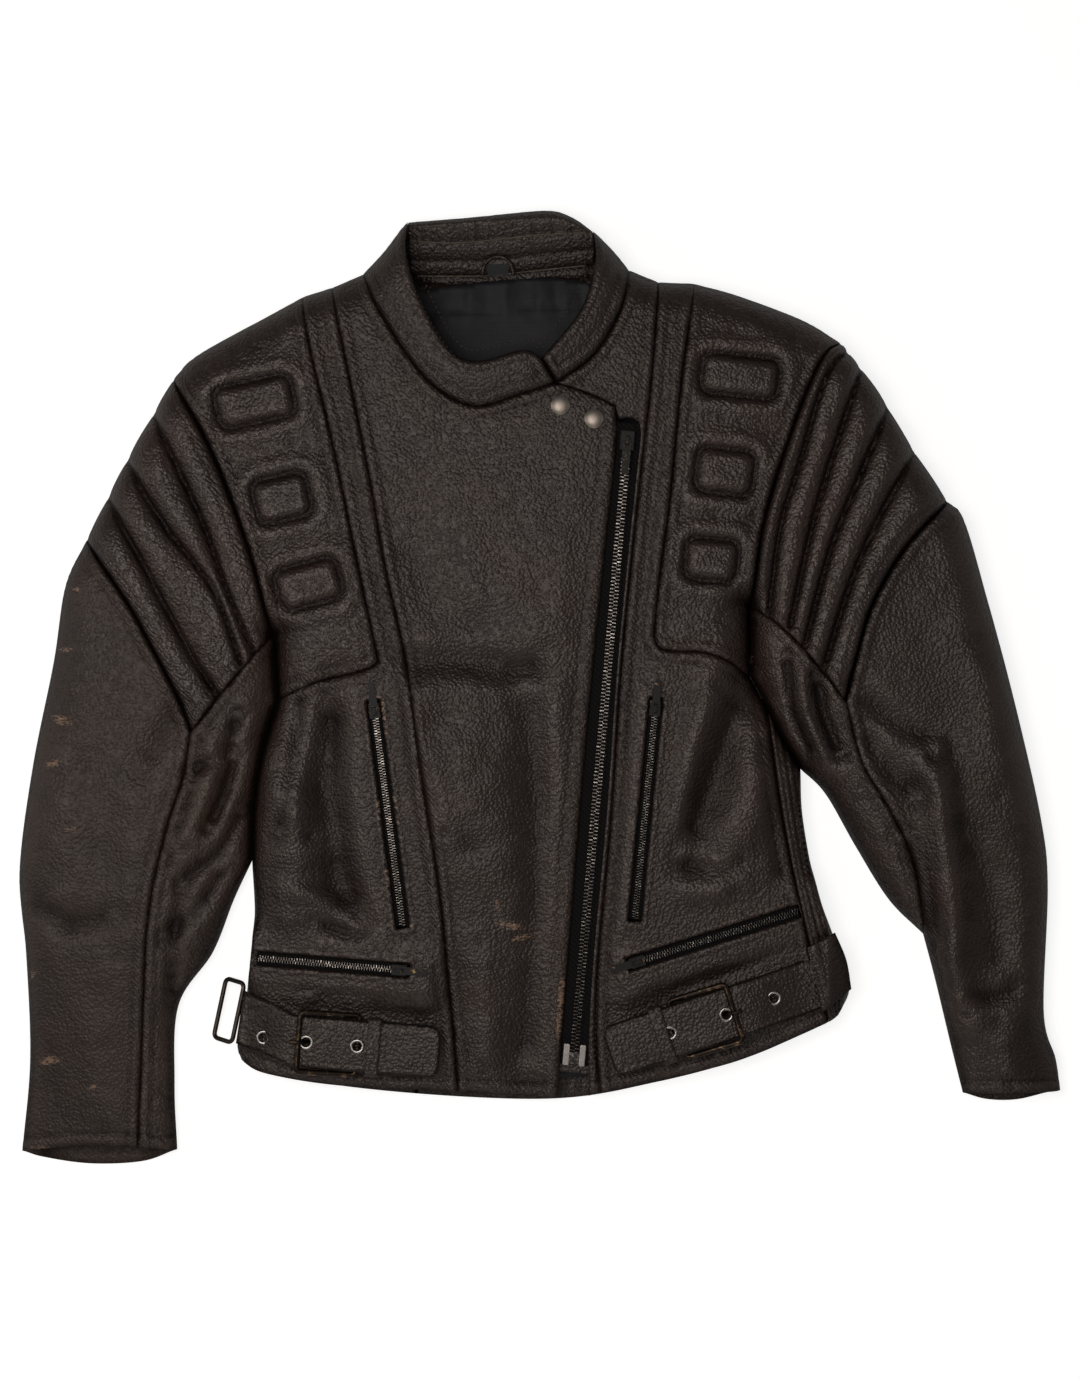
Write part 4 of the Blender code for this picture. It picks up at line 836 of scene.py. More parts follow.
def sleeve_wear(points, height):
    spots = [(-357, -24, 9, 3.4, -14, 0.95), (-363, -56, 8, 3, 12, 0.85), (-350, -106, 6, 2.5, 6, 0.8),
             (-368, -280, 9, 3.5, 8, 0.95), (-346, 74, 6, 2.2, -15, 0.75), (-355, 29, 8, 2.4, 5, 0.75),
             (-372, -348, 14, 4, 0, 0.85), (-336, -300, 6, 2.5, 30, 0.7), (-381, -215, 5, 3, 40, 0.7)]
    return blobs(points, spots)


def under_arm(points):
    crinkle = (1 - np.abs(unevenness(points * np.array([0.8, 1.3]), 12.0, 41))) ** 6
    return shell(points) - 0.9 * crinkle


for side, lines, outline in (("right", RIBS_R,
                              chain_of(arm_top_r, rib_low_r, back(rib_under_r), back(armhole_r))),
                             ("left", RIBS_L,
                              chain_of(arm_top_l, rib_low_l, back(rib_under_l), back(armhole_l)))):
    made = fine_sheet(f"sleeve_rib_{side}_leather", outline, ribbed(lines), yoke_hide,
                      stands_for=[f"sleeve_rib_{side}"], step=2.2)
fine_sheet("sleeve_top_right_leather", chain_of(arm_outer_r, cuff_top_r, back(arm_seam_r), back(rib_low_r)),
           shell, arm_hide, stands_for=["sleeve_top_right"], wear=sleeve_wear)
fine_sheet("sleeve_under_right_leather", chain_of(rib_under_r, arm_seam_r, cuff_under_r, back(arm_inner_r),
                                                  back(side_crease_r), back(crease_r)), under_arm, arm_hide,
           stands_for=["sleeve_under_right"])
fine_sheet("sleeve_top_left_leather", chain_of(arm_outer_l, cuff_l, back(cuff_inner_l), back(arm_seam_l),
                                               back(rib_low_l)), shell, body_hide,
                                               stands_for=["sleeve_top_left"])
fine_sheet("sleeve_under_left_leather",
           chain_of(rib_under_l, arm_seam_l, back(arm_inner_l), back(panel_crease_l),
                                                 back(side_crease_l), back(crease_l)), under_arm, body_hide,
           stands_for=["sleeve_under_left"])


# ---------------------------------------------------------------- corded side panel
# A panel of fine cords at the waist's side, which lets the jacket stretch.

SIDE_CORDS = [side_seam_l,
              spline([(177, -22), (184, -75), (197, -150), (212, -212), (221, -249)]),
              spline([(183, -34), (189, -75), (201, -150), (218, -214), (224, -248)]),
              spline([(190, -44), (194, -80), (205, -150), (224, -216), (226, -247)]), side_l]


def corded(points):
    return shell(points) + cords(points, SIDE_CORDS, 4.2)


fine_sheet("side_panel_left_leather", chain_of(panel_crease_l, side_l, back(hem_panel_l), back(side_seam_l)),
           corded, body_hide, stands_for=["side_panel_left"], step=1.8)


# ---------------------------------------------------------------- backs
# The back of the body, of the sleeves and of the collar lie on the ground and turn up
# along the silhouette to meet the front.

def rear(points):
    edge = nearest(points, EDGES, 40.0)
    roll = np.clip(1 - edge / 24.0, 0, 1)
    return 3.0 + (RIM_HEIGHT - 3.3) * roll ** 2.6


back_hem = spline([HEM_R0, (-150, -302), (0, -312), (90, -299), (170, -276), HEM_L3])
back_neck = spline([NECK_R, (-40, 306), NECK_L])
back_cuff_r = spline([CUFF_R0, (-376, -356), (-340, -361), (-300, -359), CUFF_R1])
back_cuff_l = spline([CUFF_L0, (365, -312), (340, -312), CUFF_L1])
fine_sheet("back_panel_leather", chain_of(shoulder_r, strip_r, neck_side_r, back_neck, neck_side_l, strip_l,
                                          shoulder_l, armhole_l, crease_l, side_crease_l, panel_crease_l,
                                          side_l,
                                          back(back_hem), back(side_r), back(side_crease_r), back(crease_r),
                                          back(armhole_r)), rear, body_hide, thick=2.8, step=6.0,
           stands_for=["back_panel"])
fine_sheet("sleeve_back_right_leather", chain_of(arm_top_r, arm_outer_r, back_cuff_r, back(arm_inner_r),
                                                 back(side_crease_r), back(crease_r), back(armhole_r)), rear,
           arm_hide, thick=2.8, step=6.0, stands_for=["sleeve_back_right"])
fine_sheet("sleeve_back_left_leather", chain_of(arm_top_l, arm_outer_l, back_cuff_l, back(cuff_inner_l),
                                                back(arm_inner_l), back(panel_crease_l), back(side_crease_l),
                                                back(crease_l), back(armhole_l)), rear, body_hide, thick=2.8,
           step=6.0, stands_for=["sleeve_back_left"])
fine_sheet("collar_back_outer_leather",
           chain_of(collar_edge_r, collar_top, back(collar_edge_l), back(back_neck)),
           rear, collar_hide, thick=2.8, step=6.0, stands_for=["collar_back_outer"])


# ---------------------------------------------------------------- collar
# A padded stand collar: two front bands, the right one ending in a tab over the left,
# and the back seen from inside, quilted in two channels under a gathered roll.

PIPING_R = spline([(-112, 336), (-103, 320), (-93, 297), (-74, 262), (-55, 240), (-40, 234)])


def band(points):
    base = np.minimum(distance(points, collar_seam_r[::2]), distance(points, collar_seam_l[::2]))
    free = nearest(points, [collar_in_r, collar_in_l, tab], 30.0)
    lift = 7 * np.sin(np.clip(base / 30, 0, 1) * math.pi / 2)
    roll = 3.2 * np.exp(-free / 2.2) + 0.6 * np.exp(-((free - 7.5) / 0.9) ** 2)
    return shell(points) + lift - roll + 0.9 * np.exp(-((free - 4) / 2.4) ** 2)


for side, outline in (("right", chain_of(collar_edge_r, collar_in_r, tab, back(collar_seam_r))),
                      ("left", chain_of(collar_edge_l, collar_in_l, tab, back(collar_seam_l)))):
    made = fine_sheet(f"collar_band_{side}_leather", outline, band, collar_hide,
                      stands_for=[f"collar_band_{side}"], step=2.0, thick=3.0)

collar_foot = spline([(-98.5, 311), (-45, 311), (-10, 314), (41.5, 319)])
collar_left_side = spline([(41.5, 319), (42.2, 333), COLLAR_L])
collar_right_side = spline([COLLAR_R, (-98.5, 330), (-98.5, 311)])
channel_mid = spline([(-99, 323), (-45, 323), (-10, 326), (42, 331)])
channel_top = spline([(-99, 337), (-60, 335.5), (0, 341), (42, 343)])


def collar_inside(points):
    """Two quilted channels, a piping, then the gathered roll that forms the collar's top."""
    slope = 12 + (np.clip(points[:, 1], 310, 352) - 310) * 0.52
    top = distance(points, collar_top[::2])
    slope = np.minimum(slope, 13 + 21 * np.sqrt(np.clip(1 - (1 - np.clip(top / 9, 0, 1)) ** 2, 0, 1)))
    apart = np.sort(np.array([distance(points, line[::2])
                              for line in (collar_foot, channel_mid, channel_top)]), axis=0)
    t = (apart[1] - apart[0]) / np.maximum(apart[1] + apart[0], 1e-6)
    under = points[:, 1] < np.interp(points[:, 0], channel_top[:, 0], channel_top[:, 1])
    quilt = np.where(under, 2.2 * (np.sqrt(np.maximum(1 - t * t, 0)) - 0.5),
                     1.2 * np.clip(apart[0] / 4, 0, 1) - 1.1)
    gather = unevenness(points * np.array([1.0, 0.18]), 3.6, 51) * np.where(under, 0.12, 0.8)
    piping = 1.1 * np.exp(-(distance(points, channel_top[::2]) / 0.9) ** 2)
    return slope + quilt + gather + piping


made = fine_sheet("collar_back_inner_leather",
                  inset(chain_of(collar_top, back(collar_left_side), back(collar_foot),
                                                              back(collar_right_side)), 0.6),
                  collar_inside, collar_hide, stands_for=["collar_back_inner"], step=1.6)


def arc(centre, radius, start, end, count):
    turn = np.radians(np.linspace(start, end, count + 1))
    return [(centre[0] + radius * math.cos(a), centre[1] + radius * math.sin(a)) for a in turn]


def tube(name, centres, radius, material, closed=False, sides=12, ride="jacket", slot="buckle_brass",
         stands_for=()):
    """Round wire along points in millimetres."""
    p = np.array(centres, float)
    ahead = np.roll(p, -1, 0) - np.roll(p, 1, 0) if closed else np.gradient(p, axis=0)
    ahead /= np.linalg.norm(ahead, axis=1)[:, None]
    normal = np.cross(ahead[0], [0.13, 0.31, 0.94])
    rings, turn = [], np.linspace(0, 2 * math.pi, sides, endpoint=False)
    for point, way in zip(p, ahead):
        normal = normal - way * (normal @ way)
        normal /= np.linalg.norm(normal)
        side = np.cross(way, normal)
        rings.append(point + radius * (np.outer(np.cos(turn), normal) + np.outer(np.sin(turn), side)))
    faces = []
    last = len(p) if closed else len(p) - 1
    for i in range(last):
        for j in range(sides):
            a, b = i * sides + j, i * sides + (j + 1) % sides
            c, d = ((i + 1) % len(p)) * sides + (j + 1) % sides, ((i + 1) % len(p)) * sides + j
            faces.append((a, b, c, d))
    if not closed:
        faces += [tuple(range(sides))[::-1], tuple((len(p) - 1) * sides + j for j in range(sides))]
    return piece(name, np.vstack(rings), faces, material, body=ride, slot=slot, stands_for=stands_for)


# Piping: a thin folded strip of the same hide round a cord, greyer where it has rubbed.
piping_hide = cowhide("cowhide_piping_rubbed", "#3a322d", "#57493f", 0.5)


def piping(name, route, height, radius=0.75, lift=0.3):
    line = spline([tuple(q) for q in route], 1.8)
    tube(name, np.column_stack([line, height(line) + lift]), radius, piping_hide, sides=8, slot="leather")


piping("collar_piping_upper", channel_top[2:-2], collar_inside)
piping("collar_piping_foot", collar_foot[2:-2] + np.array([0.0, 1.0]), collar_inside)


# ---------------------------------------------------------------- lining
# Charcoal satin, eased into the neck seam in small gathers and seamed across below it.

LINING_LIFT = 6.4
lining_outline = spline([(-128, 295), (-60, 306), (30, 309), (110, 275), (180, 245), (150, 170), (126, 60),
                         (128, -20), (165, -90), (180, -180), (196, -232), (90, -282), (0, -296),
                         (-110, -290),
                         (-188, -256), (-184, -120), (-166, 0), (-168, 70), (-215, 170), (-222, 222),
                         (-170, 262), (-128, 295)])[:-1]
lining_seam = spline([(-160, 283), (-75, 285), (30, 290), (110, 284)])


def lining_lie(points):
    up = np.clip((points[:, 1] - 262) / 45, 0, 1)
    pleats = unevenness(points * np.array([1.0, 0.22]), 6.5, 61) * 2.2 * up
    seam = distance(points, lining_seam[::3])
    puckers = unevenness(points * np.array([1.0, 0.5]), 5.0, 62) * 0.8 * np.exp(-(seam / 9) ** 2)
    return LINING_LIFT + 1.6 + 0.9 * unevenness(points, 34,
                                                63) + pleats + puckers - 1.2 * np.exp(-(seam / 1.6) ** 2)


# Acetate satin, plain woven with long floats: smooth, with a soft directional sheen.
satin, tree, shader = surface("satin_lining_charcoal")
where = add(tree, "TexCoord").outputs["Object"]
threads = add(tree, "TexWave",
              {"Vector": where, "Scale": 1 / (1.6 * MM) / 6.28, "Distortion": 0.6, "Detail": 1.0},
              bands_direction="Y")
rumple = add(tree, "TexNoise", {"Vector": where, "Scale": 1 / (9 * MM), "Detail": 4.0})
weave = add(tree, "Bump", {"Height": threads.outputs["Fac"], "Strength": 0.12, "Distance": 0.0002})
weave = add(tree, "Bump",
            {"Height": rumple.outputs["Fac"], "Strength": 0.3, "Distance": 0.001,
             "Normal": weave.outputs[0]})
tree.links.new(weave.outputs[0], shader.inputs["Normal"])
tint(tree, shader, rumple.outputs["Fac"], "#121216", "#1d1d22")
shader.inputs["Roughness"].default_value = 0.62
shader.inputs["Specular IOR Level"].default_value = 0.3
shader.inputs["Sheen Weight"].default_value = 0.08
shader.inputs["Sheen Roughness"].default_value = 0.4

made = fine_sheet("lining_satin", lining_outline, lining_lie, satin, thick=0.4, step=3.6, slot="lining",
                  stands_for=["lining_back", "pocket_bag_chest_right", "pocket_bag_hand_right",
                              "pocket_bag_chest_left", "pocket_bag_hand_left"])


# ---------------------------------------------------------------- threads
# Bonded polyester sewing thread, 0.7 mm, in stitches of about 4 mm along every sewn edge.
# Drawn a little thicker than real, so that each stitch shows.

STITCH, STITCH_GAP, THREAD = 3.3, 1.0, 0.5


def offset(curve, by):
    """The curve moved sideways by a distance; positive is to its left."""
    d = np.gradient(curve, axis=0)
    n = np.column_stack([-d[:, 1], d[:, 0]]) / np.maximum(np.linalg.norm(d, axis=1), 1e-9)[:, None]
    return curve + by * n


def stitch_row(curve, height, lift=0.12):
    """Flat pills along a curve, laid on a height function: returns points and faces."""
    run = np.concatenate([[0], np.cumsum(np.linalg.norm(np.diff(curve, axis=0), axis=1))])
    starts = np.arange(1.0, run[-1] - STITCH, STITCH + STITCH_GAP)
    if len(starts) == 0:
        return np.zeros((0, 3)), []
    a = np.column_stack([np.interp(starts, run, curve[:, k]) for k in (0, 1)])
    b = np.column_stack([np.interp(starts + STITCH, run, curve[:, k]) for k in (0, 1)])
    mid = (a + b) / 2
    on_leather = np.zeros(len(mid), bool)
    for panel in CUT_PANELS:
        on_leather |= inside(a, panel) & inside(b, panel)
    a, b, mid = a[on_leather], b[on_leather], mid[on_leather]
    if len(mid) == 0:
        return np.zeros((0, 3)), []
    d = (b - a) / np.maximum(np.linalg.norm(b - a, axis=1), 1e-9)[:, None]
    n = np.column_stack([-d[:, 1], d[:, 0]]) * THREAD
    za, zb, zm = height(a) + lift - 0.25, height(b) + lift - 0.25, height(mid) + lift
    count = len(a)
    parts = [np.column_stack([a, za]), np.column_stack([b, zb]), np.column_stack([mid + n, zm]),
             np.column_stack([mid - n, zm]), np.column_stack([mid, zm + THREAD]),
             np.column_stack([mid, zm - THREAD])]
    verts = np.stack(parts, 1).reshape(-1, 3)
    shape = [(0, 3, 4), (3, 1, 4), (1, 2, 4), (2, 0, 4), (3, 0, 5), (1, 3, 5), (2, 1, 5), (0, 2, 5)]
    faces = [tuple(6 * k + i for i in f) for k in range(count) for f in shape]
    return verts, faces


def thread_piece(name, rows, material):
    """All rows of stitches of one group as one piece."""
    verts, faces, start = [], [], 0
    for curve, height in rows:
        v, f = stitch_row(curve, height)
        verts.append(v)
        faces += [tuple(i + start for i in t) for t in f]
        start += len(v)
    return piece(name, np.vstack(verts), faces, material)


thread, tree, shader = surface("polyester_thread_black")
where = add(tree, "TexCoord").outputs["Object"]
ply = add(tree, "TexNoise", {"Vector": where, "Scale": 1 / (0.5 * MM), "Detail": 2.0})
tint(tree, shader, ply.outputs["Fac"], "#1d1613", "#463a33")
twist = add(tree, "Bump", {"Height": ply.outputs["Fac"], "Strength": 0.4, "Distance": 0.0002})
tree.links.new(twist.outputs[0], shader.inputs["Normal"])
shader.inputs["Roughness"].default_value = 0.45


def slot_ring(name, out):
    """Closed stitching line round a pocket slot."""
    z = ZIPS[name]
    a, b = z.head - (8.0 + out) * z.along, z.tail + (8.0 + out) * z.along
    w = (SLOT_HALF + out) * z.across
    return np.vstack([spline([tuple(p), tuple(q)]) for p,
                      q in ((a + w, b + w), (b + w, b - w), (b - w, a - w), (a - w, a + w))])


OFF = 8.6
front_rows = [(offset(yoke_in_r, OFF), shell), (offset(yoke_in_r, -OFF), yoke),
              (offset(princess_r, OFF), shell),
              (offset(princess_r, -OFF), shell), (offset(yoke_in_l, OFF), yoke),
              (offset(yoke_in_l, -OFF), shell),
              (offset(princess_l, OFF), shell), (offset(yoke_low_r, OFF), yoke),
              (offset(yoke_low_l, OFF), yoke),
              (offset(flap_edge, -11), flap_front), (offset(flap_top, -5), flap_front),
              (offset(hem_side_r, 7), shell), (offset(hem_front_r, 7), shell),
              (offset(hem_side_l, 7), shell),
              (offset(welt_l, 5), shell), (offset(armhole_r, OFF), yoke), (offset(armhole_l, -OFF), yoke)]
for name in ("chest_right", "hand_right", "chest_left", "hand_left"):
    pair = ["chest_right", "hand_right"] if "right" in name else ["chest_left", "hand_left"]
    front_rows.append((slot_ring(name, WELT), welted(pair)))
thread_piece("front_stitching", front_rows, thread)
thread_piece("sleeve_stitching", [(offset(arm_seam_r, 6), shell), (offset(arm_seam_l, -6), shell),
                                  (offset(cuff_top_r, 8), shell), (offset(cuff_under_r, 8), under_arm),
                                  (offset(cuff_l, -7), shell), (offset(rib_low_r, -5), shell),
                                  (offset(rib_low_l, 5), shell)], thread)
thread_piece("collar_stitching", [(offset(collar_in_r, 7.5), band), (offset(collar_in_l, -7.5), band),
                                  (PIPING_R, band), (offset(collar_seam_r, 4.5), band),
                                  (offset(collar_seam_l, -4.5), band), (channel_mid, collar_inside)], thread)


# ---------------------------------------------------------------- zips
# Diecast teeth clamped on a woven tape; the main chain's are 8 mm across, the pockets' 5.5 mm.
# Each sits in its slot below the leather; the sliders are enamelled zinc, worn to brass.

TAPE_TOP = -3.6
TEETH = {"main": (7.6, 2.7), "chest_right": (5.4, 2.0), "hand_right": (5.4, 2.0), "chest_left": (5.4, 2.0),
         "hand_left": (5.4, 2.0)}
TOOTH = [(-0.5, -0.5, 0), (0.5, -0.5, 0), (0.5, 0.5, 0), (-0.5, 0.5, 0),
         (-0.34, -0.36, 1), (0.34, -0.36, 1), (0.34, 0.36, 1), (-0.34, 0.36, 1)]
BLOCK = [(3, 2, 1, 0), (4, 5, 6, 7), (0, 1, 5, 4), (1, 2, 6, 5), (2, 3, 7, 6), (3, 0, 4, 7)]

# Zinc alloy, tumbled and blackened: dull black, with random bright spots painted into its colour as painted
# glints.
blackened, tree, shader = surface("zinc_blackened_tumbled")
where = add(tree, "TexCoord").outputs["Object"]
mottle = add(tree, "TexNoise", {"Vector": where, "Scale": 1 / (3 * MM), "Detail": 5.0, "Roughness": 0.7})
# Painted glints: the colour turns bright where the noise is high.
painted_glint_spots = add(tree, "MapRange", {"Value": mottle.outputs["Fac"], "From Min": 0.5, "From Max": 0.72})
tint(tree, shader, painted_glint_spots.outputs[0], "#45413e", "#b5aea5")
shader.inputs["Metallic"].default_value = 1.0
shader.inputs["Roughness"].default_value = 0.26

# Cotton and polyester herringbone tape, dyed black: matt, with ribs about a millimetre apart.
tape_cloth, tree, shader = surface("zip_tape_woven_black")
where = add(tree, "TexCoord").outputs["Object"]
rib = add(tree, "TexWave", {"Vector": where, "Scale": 1 / (1.1 * MM) / 6.28, "Distortion": 0.4},
          bands_direction="DIAGONAL")
herring = add(tree, "Bump", {"Height": rib.outputs["Fac"], "Strength": 0.5, "Distance": 0.0003})
tree.links.new(herring.outputs[0], shader.inputs["Normal"])
tint(tree, shader, rib.outputs["Fac"], "#080707", "#121010")
shader.inputs["Roughness"].default_value = 0.95
shader.inputs["Specular IOR Level"].default_value = 0.2


def on_zip(z, t, side, up):
    """Places local (along, across, up) points on a zip's tilted line."""
    u = np.array([*(z.along * z.length), z.tail_z - z.head_z])
    u = u / np.linalg.norm(u)
    v = np.array([*z.across, 0.0])
    n = np.cross(u, v)
    base = np.array([*z.head, z.head_z])
    return base + np.multiply.outer(t, u) + np.multiply.outer(side, v) + np.multiply.outer(up, n)


for name, (wide, pitch) in TEETH.items():
    z = ZIPS[name]
    tape_half = 11.3 if name == "main" else 7.9
    across = np.array([-tape_half, -wide / 2 - 1.6, -wide / 2 - 1.0, -wide / 2 + 0.6, wide / 2 - 0.6,
                       wide / 2 + 1.0,
                       wide / 2 + 1.6, tape_half])
    rise = np.array([0.0, 0.0, 0.55, 0.6, 0.6, 0.55, 0.0, 0.0]) + TAPE_TOP
    before, after = (13.0, 14.0) if name == "main" else (6.5, 6.5)
    along = np.linspace(-before, z.length + after, 40)
    rows = np.array([on_zip(z, np.full(8, t), across, rise) for t in along]).reshape(-1, 3)
    low_rows = np.array([on_zip(z, np.full(8, t), across, np.full(8, TAPE_TOP - 0.7))
                         for t in along]).reshape(-1, 3)
    verts = np.vstack([rows, low_rows])
    count, faces = len(rows), []
    for i in range(len(along) - 1):
        for j in range(7):
            a, b, c, d = i * 8 + j, i * 8 + j + 1, i * 8 + j + 9, i * 8 + j + 8
            faces += [(a, d, c, b), (a + count, b + count, c + count, d + count)]
        faces += [(i * 8, i * 8 + count, (i + 1) * 8 + count, (i + 1) * 8),
                  (i * 8 + 7, (i + 1) * 8 + 7, (i + 1) * 8 + 7 + count, i * 8 + 7 + count)]
    for i, turn in ((0, 1), (len(along) - 1, -1)):
        for j in range(7):
            a, b = i * 8 + j, i * 8 + j + 1
            faces.append((a, b, b + count, a + count)[::turn])
    piece(f"zip_{name}_tape", verts, faces, tape_cloth, smooth=False, slot="zip_black",
          stands_for=[f"zip_{name}"])
    verts, faces = [], []
    shape = np.array(TOOTH)
    starts = np.arange(-5.0, z.length + 5.5, pitch)
    for t in starts:
        for way in (-1, 1):
            at = t + (pitch / 2 if way > 0 else 0)
            body = on_zip(z, at + shape[:, 0] * pitch * 0.46, way * wide * 0.21 + shape[:, 1] * wide * 0.58,
                          TAPE_TOP + 0.3 + shape[:, 2] * 2.0)
            faces += [tuple(len(verts) + i for i in f) for f in BLOCK]
            verts += body.tolist()
    piece(f"zip_{name}_teeth", verts, faces, blackened, smooth=False, slot="zip_black")

# Bottom box of the main zip: a dark die-cast retainer between two bright nickel wings.
bright, tree, shader = surface("nickel_silver_rubbed")
where = add(tree, "TexCoord").outputs["Object"]
film = add(tree, "TexNoise", {"Vector": where, "Scale": 1 / (2 * MM), "Detail": 5.0})
tint(tree, shader, film.outputs["Fac"], "#7c7772", "#cbc6bf")
shader.inputs["Metallic"].default_value = 1.0
shader.inputs["Roughness"].default_value = 0.3


def block_piece(name, z, u, v, n, material, bevel=0.5, **where_to):
    """A box with softened edges in a zip's own axes."""
    corners = np.array([(a, b, c) for a in u for b in v for c in n])
    quads = [(0, 1, 3, 2), (4, 6, 7, 5), (0, 4, 5, 1), (2, 3, 7, 6), (0, 2, 6, 4), (1, 5, 7, 3)]
    made = piece(name, on_zip(z, corners[:, 0], corners[:, 1], corners[:, 2]), quads, material, smooth=False,
                 **where_to)
    bm = bmesh.new()
    bm.from_mesh(made.data)
    bmesh.ops.recalc_face_normals(bm, faces=bm.faces)
    bmesh.ops.bevel(bm, geom=bm.edges[:], offset=bevel * MM, segments=2, affect="EDGES")
    bm.to_mesh(made.data)
    bm.free()
    return made


z = ZIPS["main"]
foot = z.length
block_piece("zip_box_retainer", z, (foot + 4, foot + 13), (-3.6, 3.6), (-0.8, 1.4), blackened,
            slot="zip_box_nickel",
            stands_for=["zip_box"])
for label, low, high in (("right", -8.2, -3.9), ("left", 3.9, 8.2)):
    block_piece(f"zip_box_wing_{label}", z, (foot - 2, foot + 14), (low, high), (-0.9, 1.2), bright,
                slot="zip_box_nickel")

# Enamelled zinc: black gloss, rubbed through to warm brass along the edges.
enamel, tree, shader = surface("zinc_enamelled_black_worn")
where = add(tree, "TexCoord").outputs["Object"]
rub = add(tree, "TexNoise", {"Vector": where, "Scale": 1 / (4 * MM), "Detail": 5.0, "Roughness": 0.65})
worn = add(tree, "MapRange", {"Value": rub.outputs["Fac"], "From Min": 0.6, "From Max": 0.68})
tint(tree, shader, worn.outputs[0], "#0d0c0c", "#7d6448")
tree.links.new(worn.outputs[0], shader.inputs["Metallic"])
shader.inputs["Roughness"].default_value = 0.5
shader.inputs["Specular IOR Level"].default_value = 0.2
for name in ZIPS:
    for part_name in (f"slider_{name}", f"pull_{name}"):
        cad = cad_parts[part_name]
        dress(cad, enamel)

# Placket of thin leather behind the main zip: the design's own strip, in the body's hide.
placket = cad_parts["wind_flap"]
dress(placket, body_hide)


# ---------------------------------------------------------------- adjuster belts
# Waist straps of doubled leather, stitched near the edges, with brass-shanked eyelets. The
# tail passes over the anchored strap, through a leather keeper and under the buckle's bar.

STRAP_HALF, STRAP, TAIL_LIFT, PIVOT_LIFT = 19.5, 2.5, 8.9, 5.0
FRAME_LENGTH, FRAME_HALF, WIRE = 44.0, 24.5, 2.2
BELTS = {"right": ((-136, -267.5), (-180, -264), 62, 88, 28.5, [(-200, -276), (-228, -267)],
                   [(-222, -227.5), (-196, -237.5)], (0.0, 71.0)),
         "left": ((103.6, -255.5), (146.5, -241.5), 54, 108, 36.5, [(172, -213), (205, -201.5)],
                  [(217, -238), (184, -249.5)], (-6.0, 76.0))}
HOLE_AT = 38.2


class Belt:
    """A belt's own axes: u from the buckle's bar to its front bar, v across, n up."""

    def __init__(self, name):
        pivot, front_bar, self.tip, self.far_u, self.far_z, self.end, self.end_back, self.eyelets = BELTS[name]
        self.name, self.pivot = name, np.array(pivot, float)
        run = np.array(front_bar, float) - self.pivot
        self.along = run / np.linalg.norm(run)
        self.across = np.array([-self.along[1], self.along[0]])
        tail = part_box(f"belt_keeper_{name}")
        self.ground = tail[0][2] / MM - 0.7

    def at(self, u, v=0.0):
        return self.pivot + u * self.along + v * self.across

    def place(self, u, v, n):
        """Local points, as arrays or numbers, to millimetres in the jacket's frame."""
        u, v, n = np.broadcast_arrays(np.asarray(u, float), np.asarray(v, float), np.asarray(n, float))
        flat = self.pivot + u[..., None] * self.along + v[..., None] * self.across
        return np.concatenate([flat, (n + self.ground)[..., None]], -1)

    def tail_top(self, points):
        """The strap is level over the buckle, rises a little over the bar, and slopes away."""
        u, v = (points - self.pivot) @ self.along, (points - self.pivot) @ self.across
        level = self.ground + TAIL_LIFT + STRAP
        t = np.clip((u - 50) / (self.far_u - 50), 0, 1)
        top = level + (self.far_z - level) * t * t * (3 - 2 * t)
        rim = np.clip(1 - (STRAP_HALF - np.abs(v)) / 2.2, 0, 1)
        groove = 0.5 * np.exp(-((STRAP_HALF - np.abs(v) - 4.0) / 0.8) ** 2)
        sway = 0.5 * np.sin(u / 17 + v / 30) + 0.35 * unevenness(points, 14, 71)
        tipped = np.clip(1 - (u + self.tip) / 2.0, 0, 1)
        return top + sway - 1.3 * rim ** 2 - groove - 0.8 * tipped ** 2


def turned(name, profile, centre, axes, material, sides=40, ride="jacket", slot="snap_pewter",
           stands_for=()):
    """A turned piece: profile of (radius, height) from the axis out, up and back."""
    turn = np.linspace(0, 2 * math.pi, sides, endpoint=False)
    right, forward, up = (np.array(a, float) for a in axes)
    verts = []
    for r, h in profile:
        verts += [np.array(centre) + up * h + r * (right * math.cos(a) + forward * math.sin(a))
                  for a in turn]
    faces, rows = [], len(profile)
    closed = profile[0][0] > 1e-6
    for i in range(rows if closed else rows - 1):
        for j in range(sides):
            k = (j + 1) % sides
            faces.append((i * sides + j, i * sides + k, ((i + 1) % rows) * sides + k,
                          ((i + 1) % rows) * sides + j))
    made = piece(name, verts, faces, material, body=ride, slot=slot, stands_for=stands_for)
    if not closed:
        bm = bmesh.new()
        bm.from_mesh(made.data)
        bmesh.ops.remove_doubles(bm, verts=bm.verts, dist=1e-7)
        bm.to_mesh(made.data)
        bm.free()
    return made


# Belt leather: the same hide, doubled and burnished; slightly smoother and browner.
belt_hide = cowhide("cowhide_belt_doubled", "#1c1411", "#2a1f1a", 0.42, 0.3)

# Brass buckle wire, plated dark: the plating has gone from the corners and the brass has dulled.
brass, tree, shader = surface("brass_antique_plated")
where = add(tree, "TexCoord").outputs["Object"]
rub = add(tree, "TexNoise", {"Vector": where, "Scale": 1 / (6 * MM), "Detail": 6.0, "Roughness": 0.65})
worn = add(tree, "MapRange", {"Value": rub.outputs["Fac"], "From Min": 0.52, "From Max": 0.74})
tint(tree, shader, worn.outputs[0], "#2c2520", "#8d7257")
shader.inputs["Metallic"].default_value = 0.95
matt = add(tree, "MapRange",
           {"Value": rub.outputs["Fac"], "From Min": 0.3, "From Max": 0.7, "To Min": 0.48, "To Max": 0.28})
tree.links.new(matt.outputs[0], shader.inputs["Roughness"])
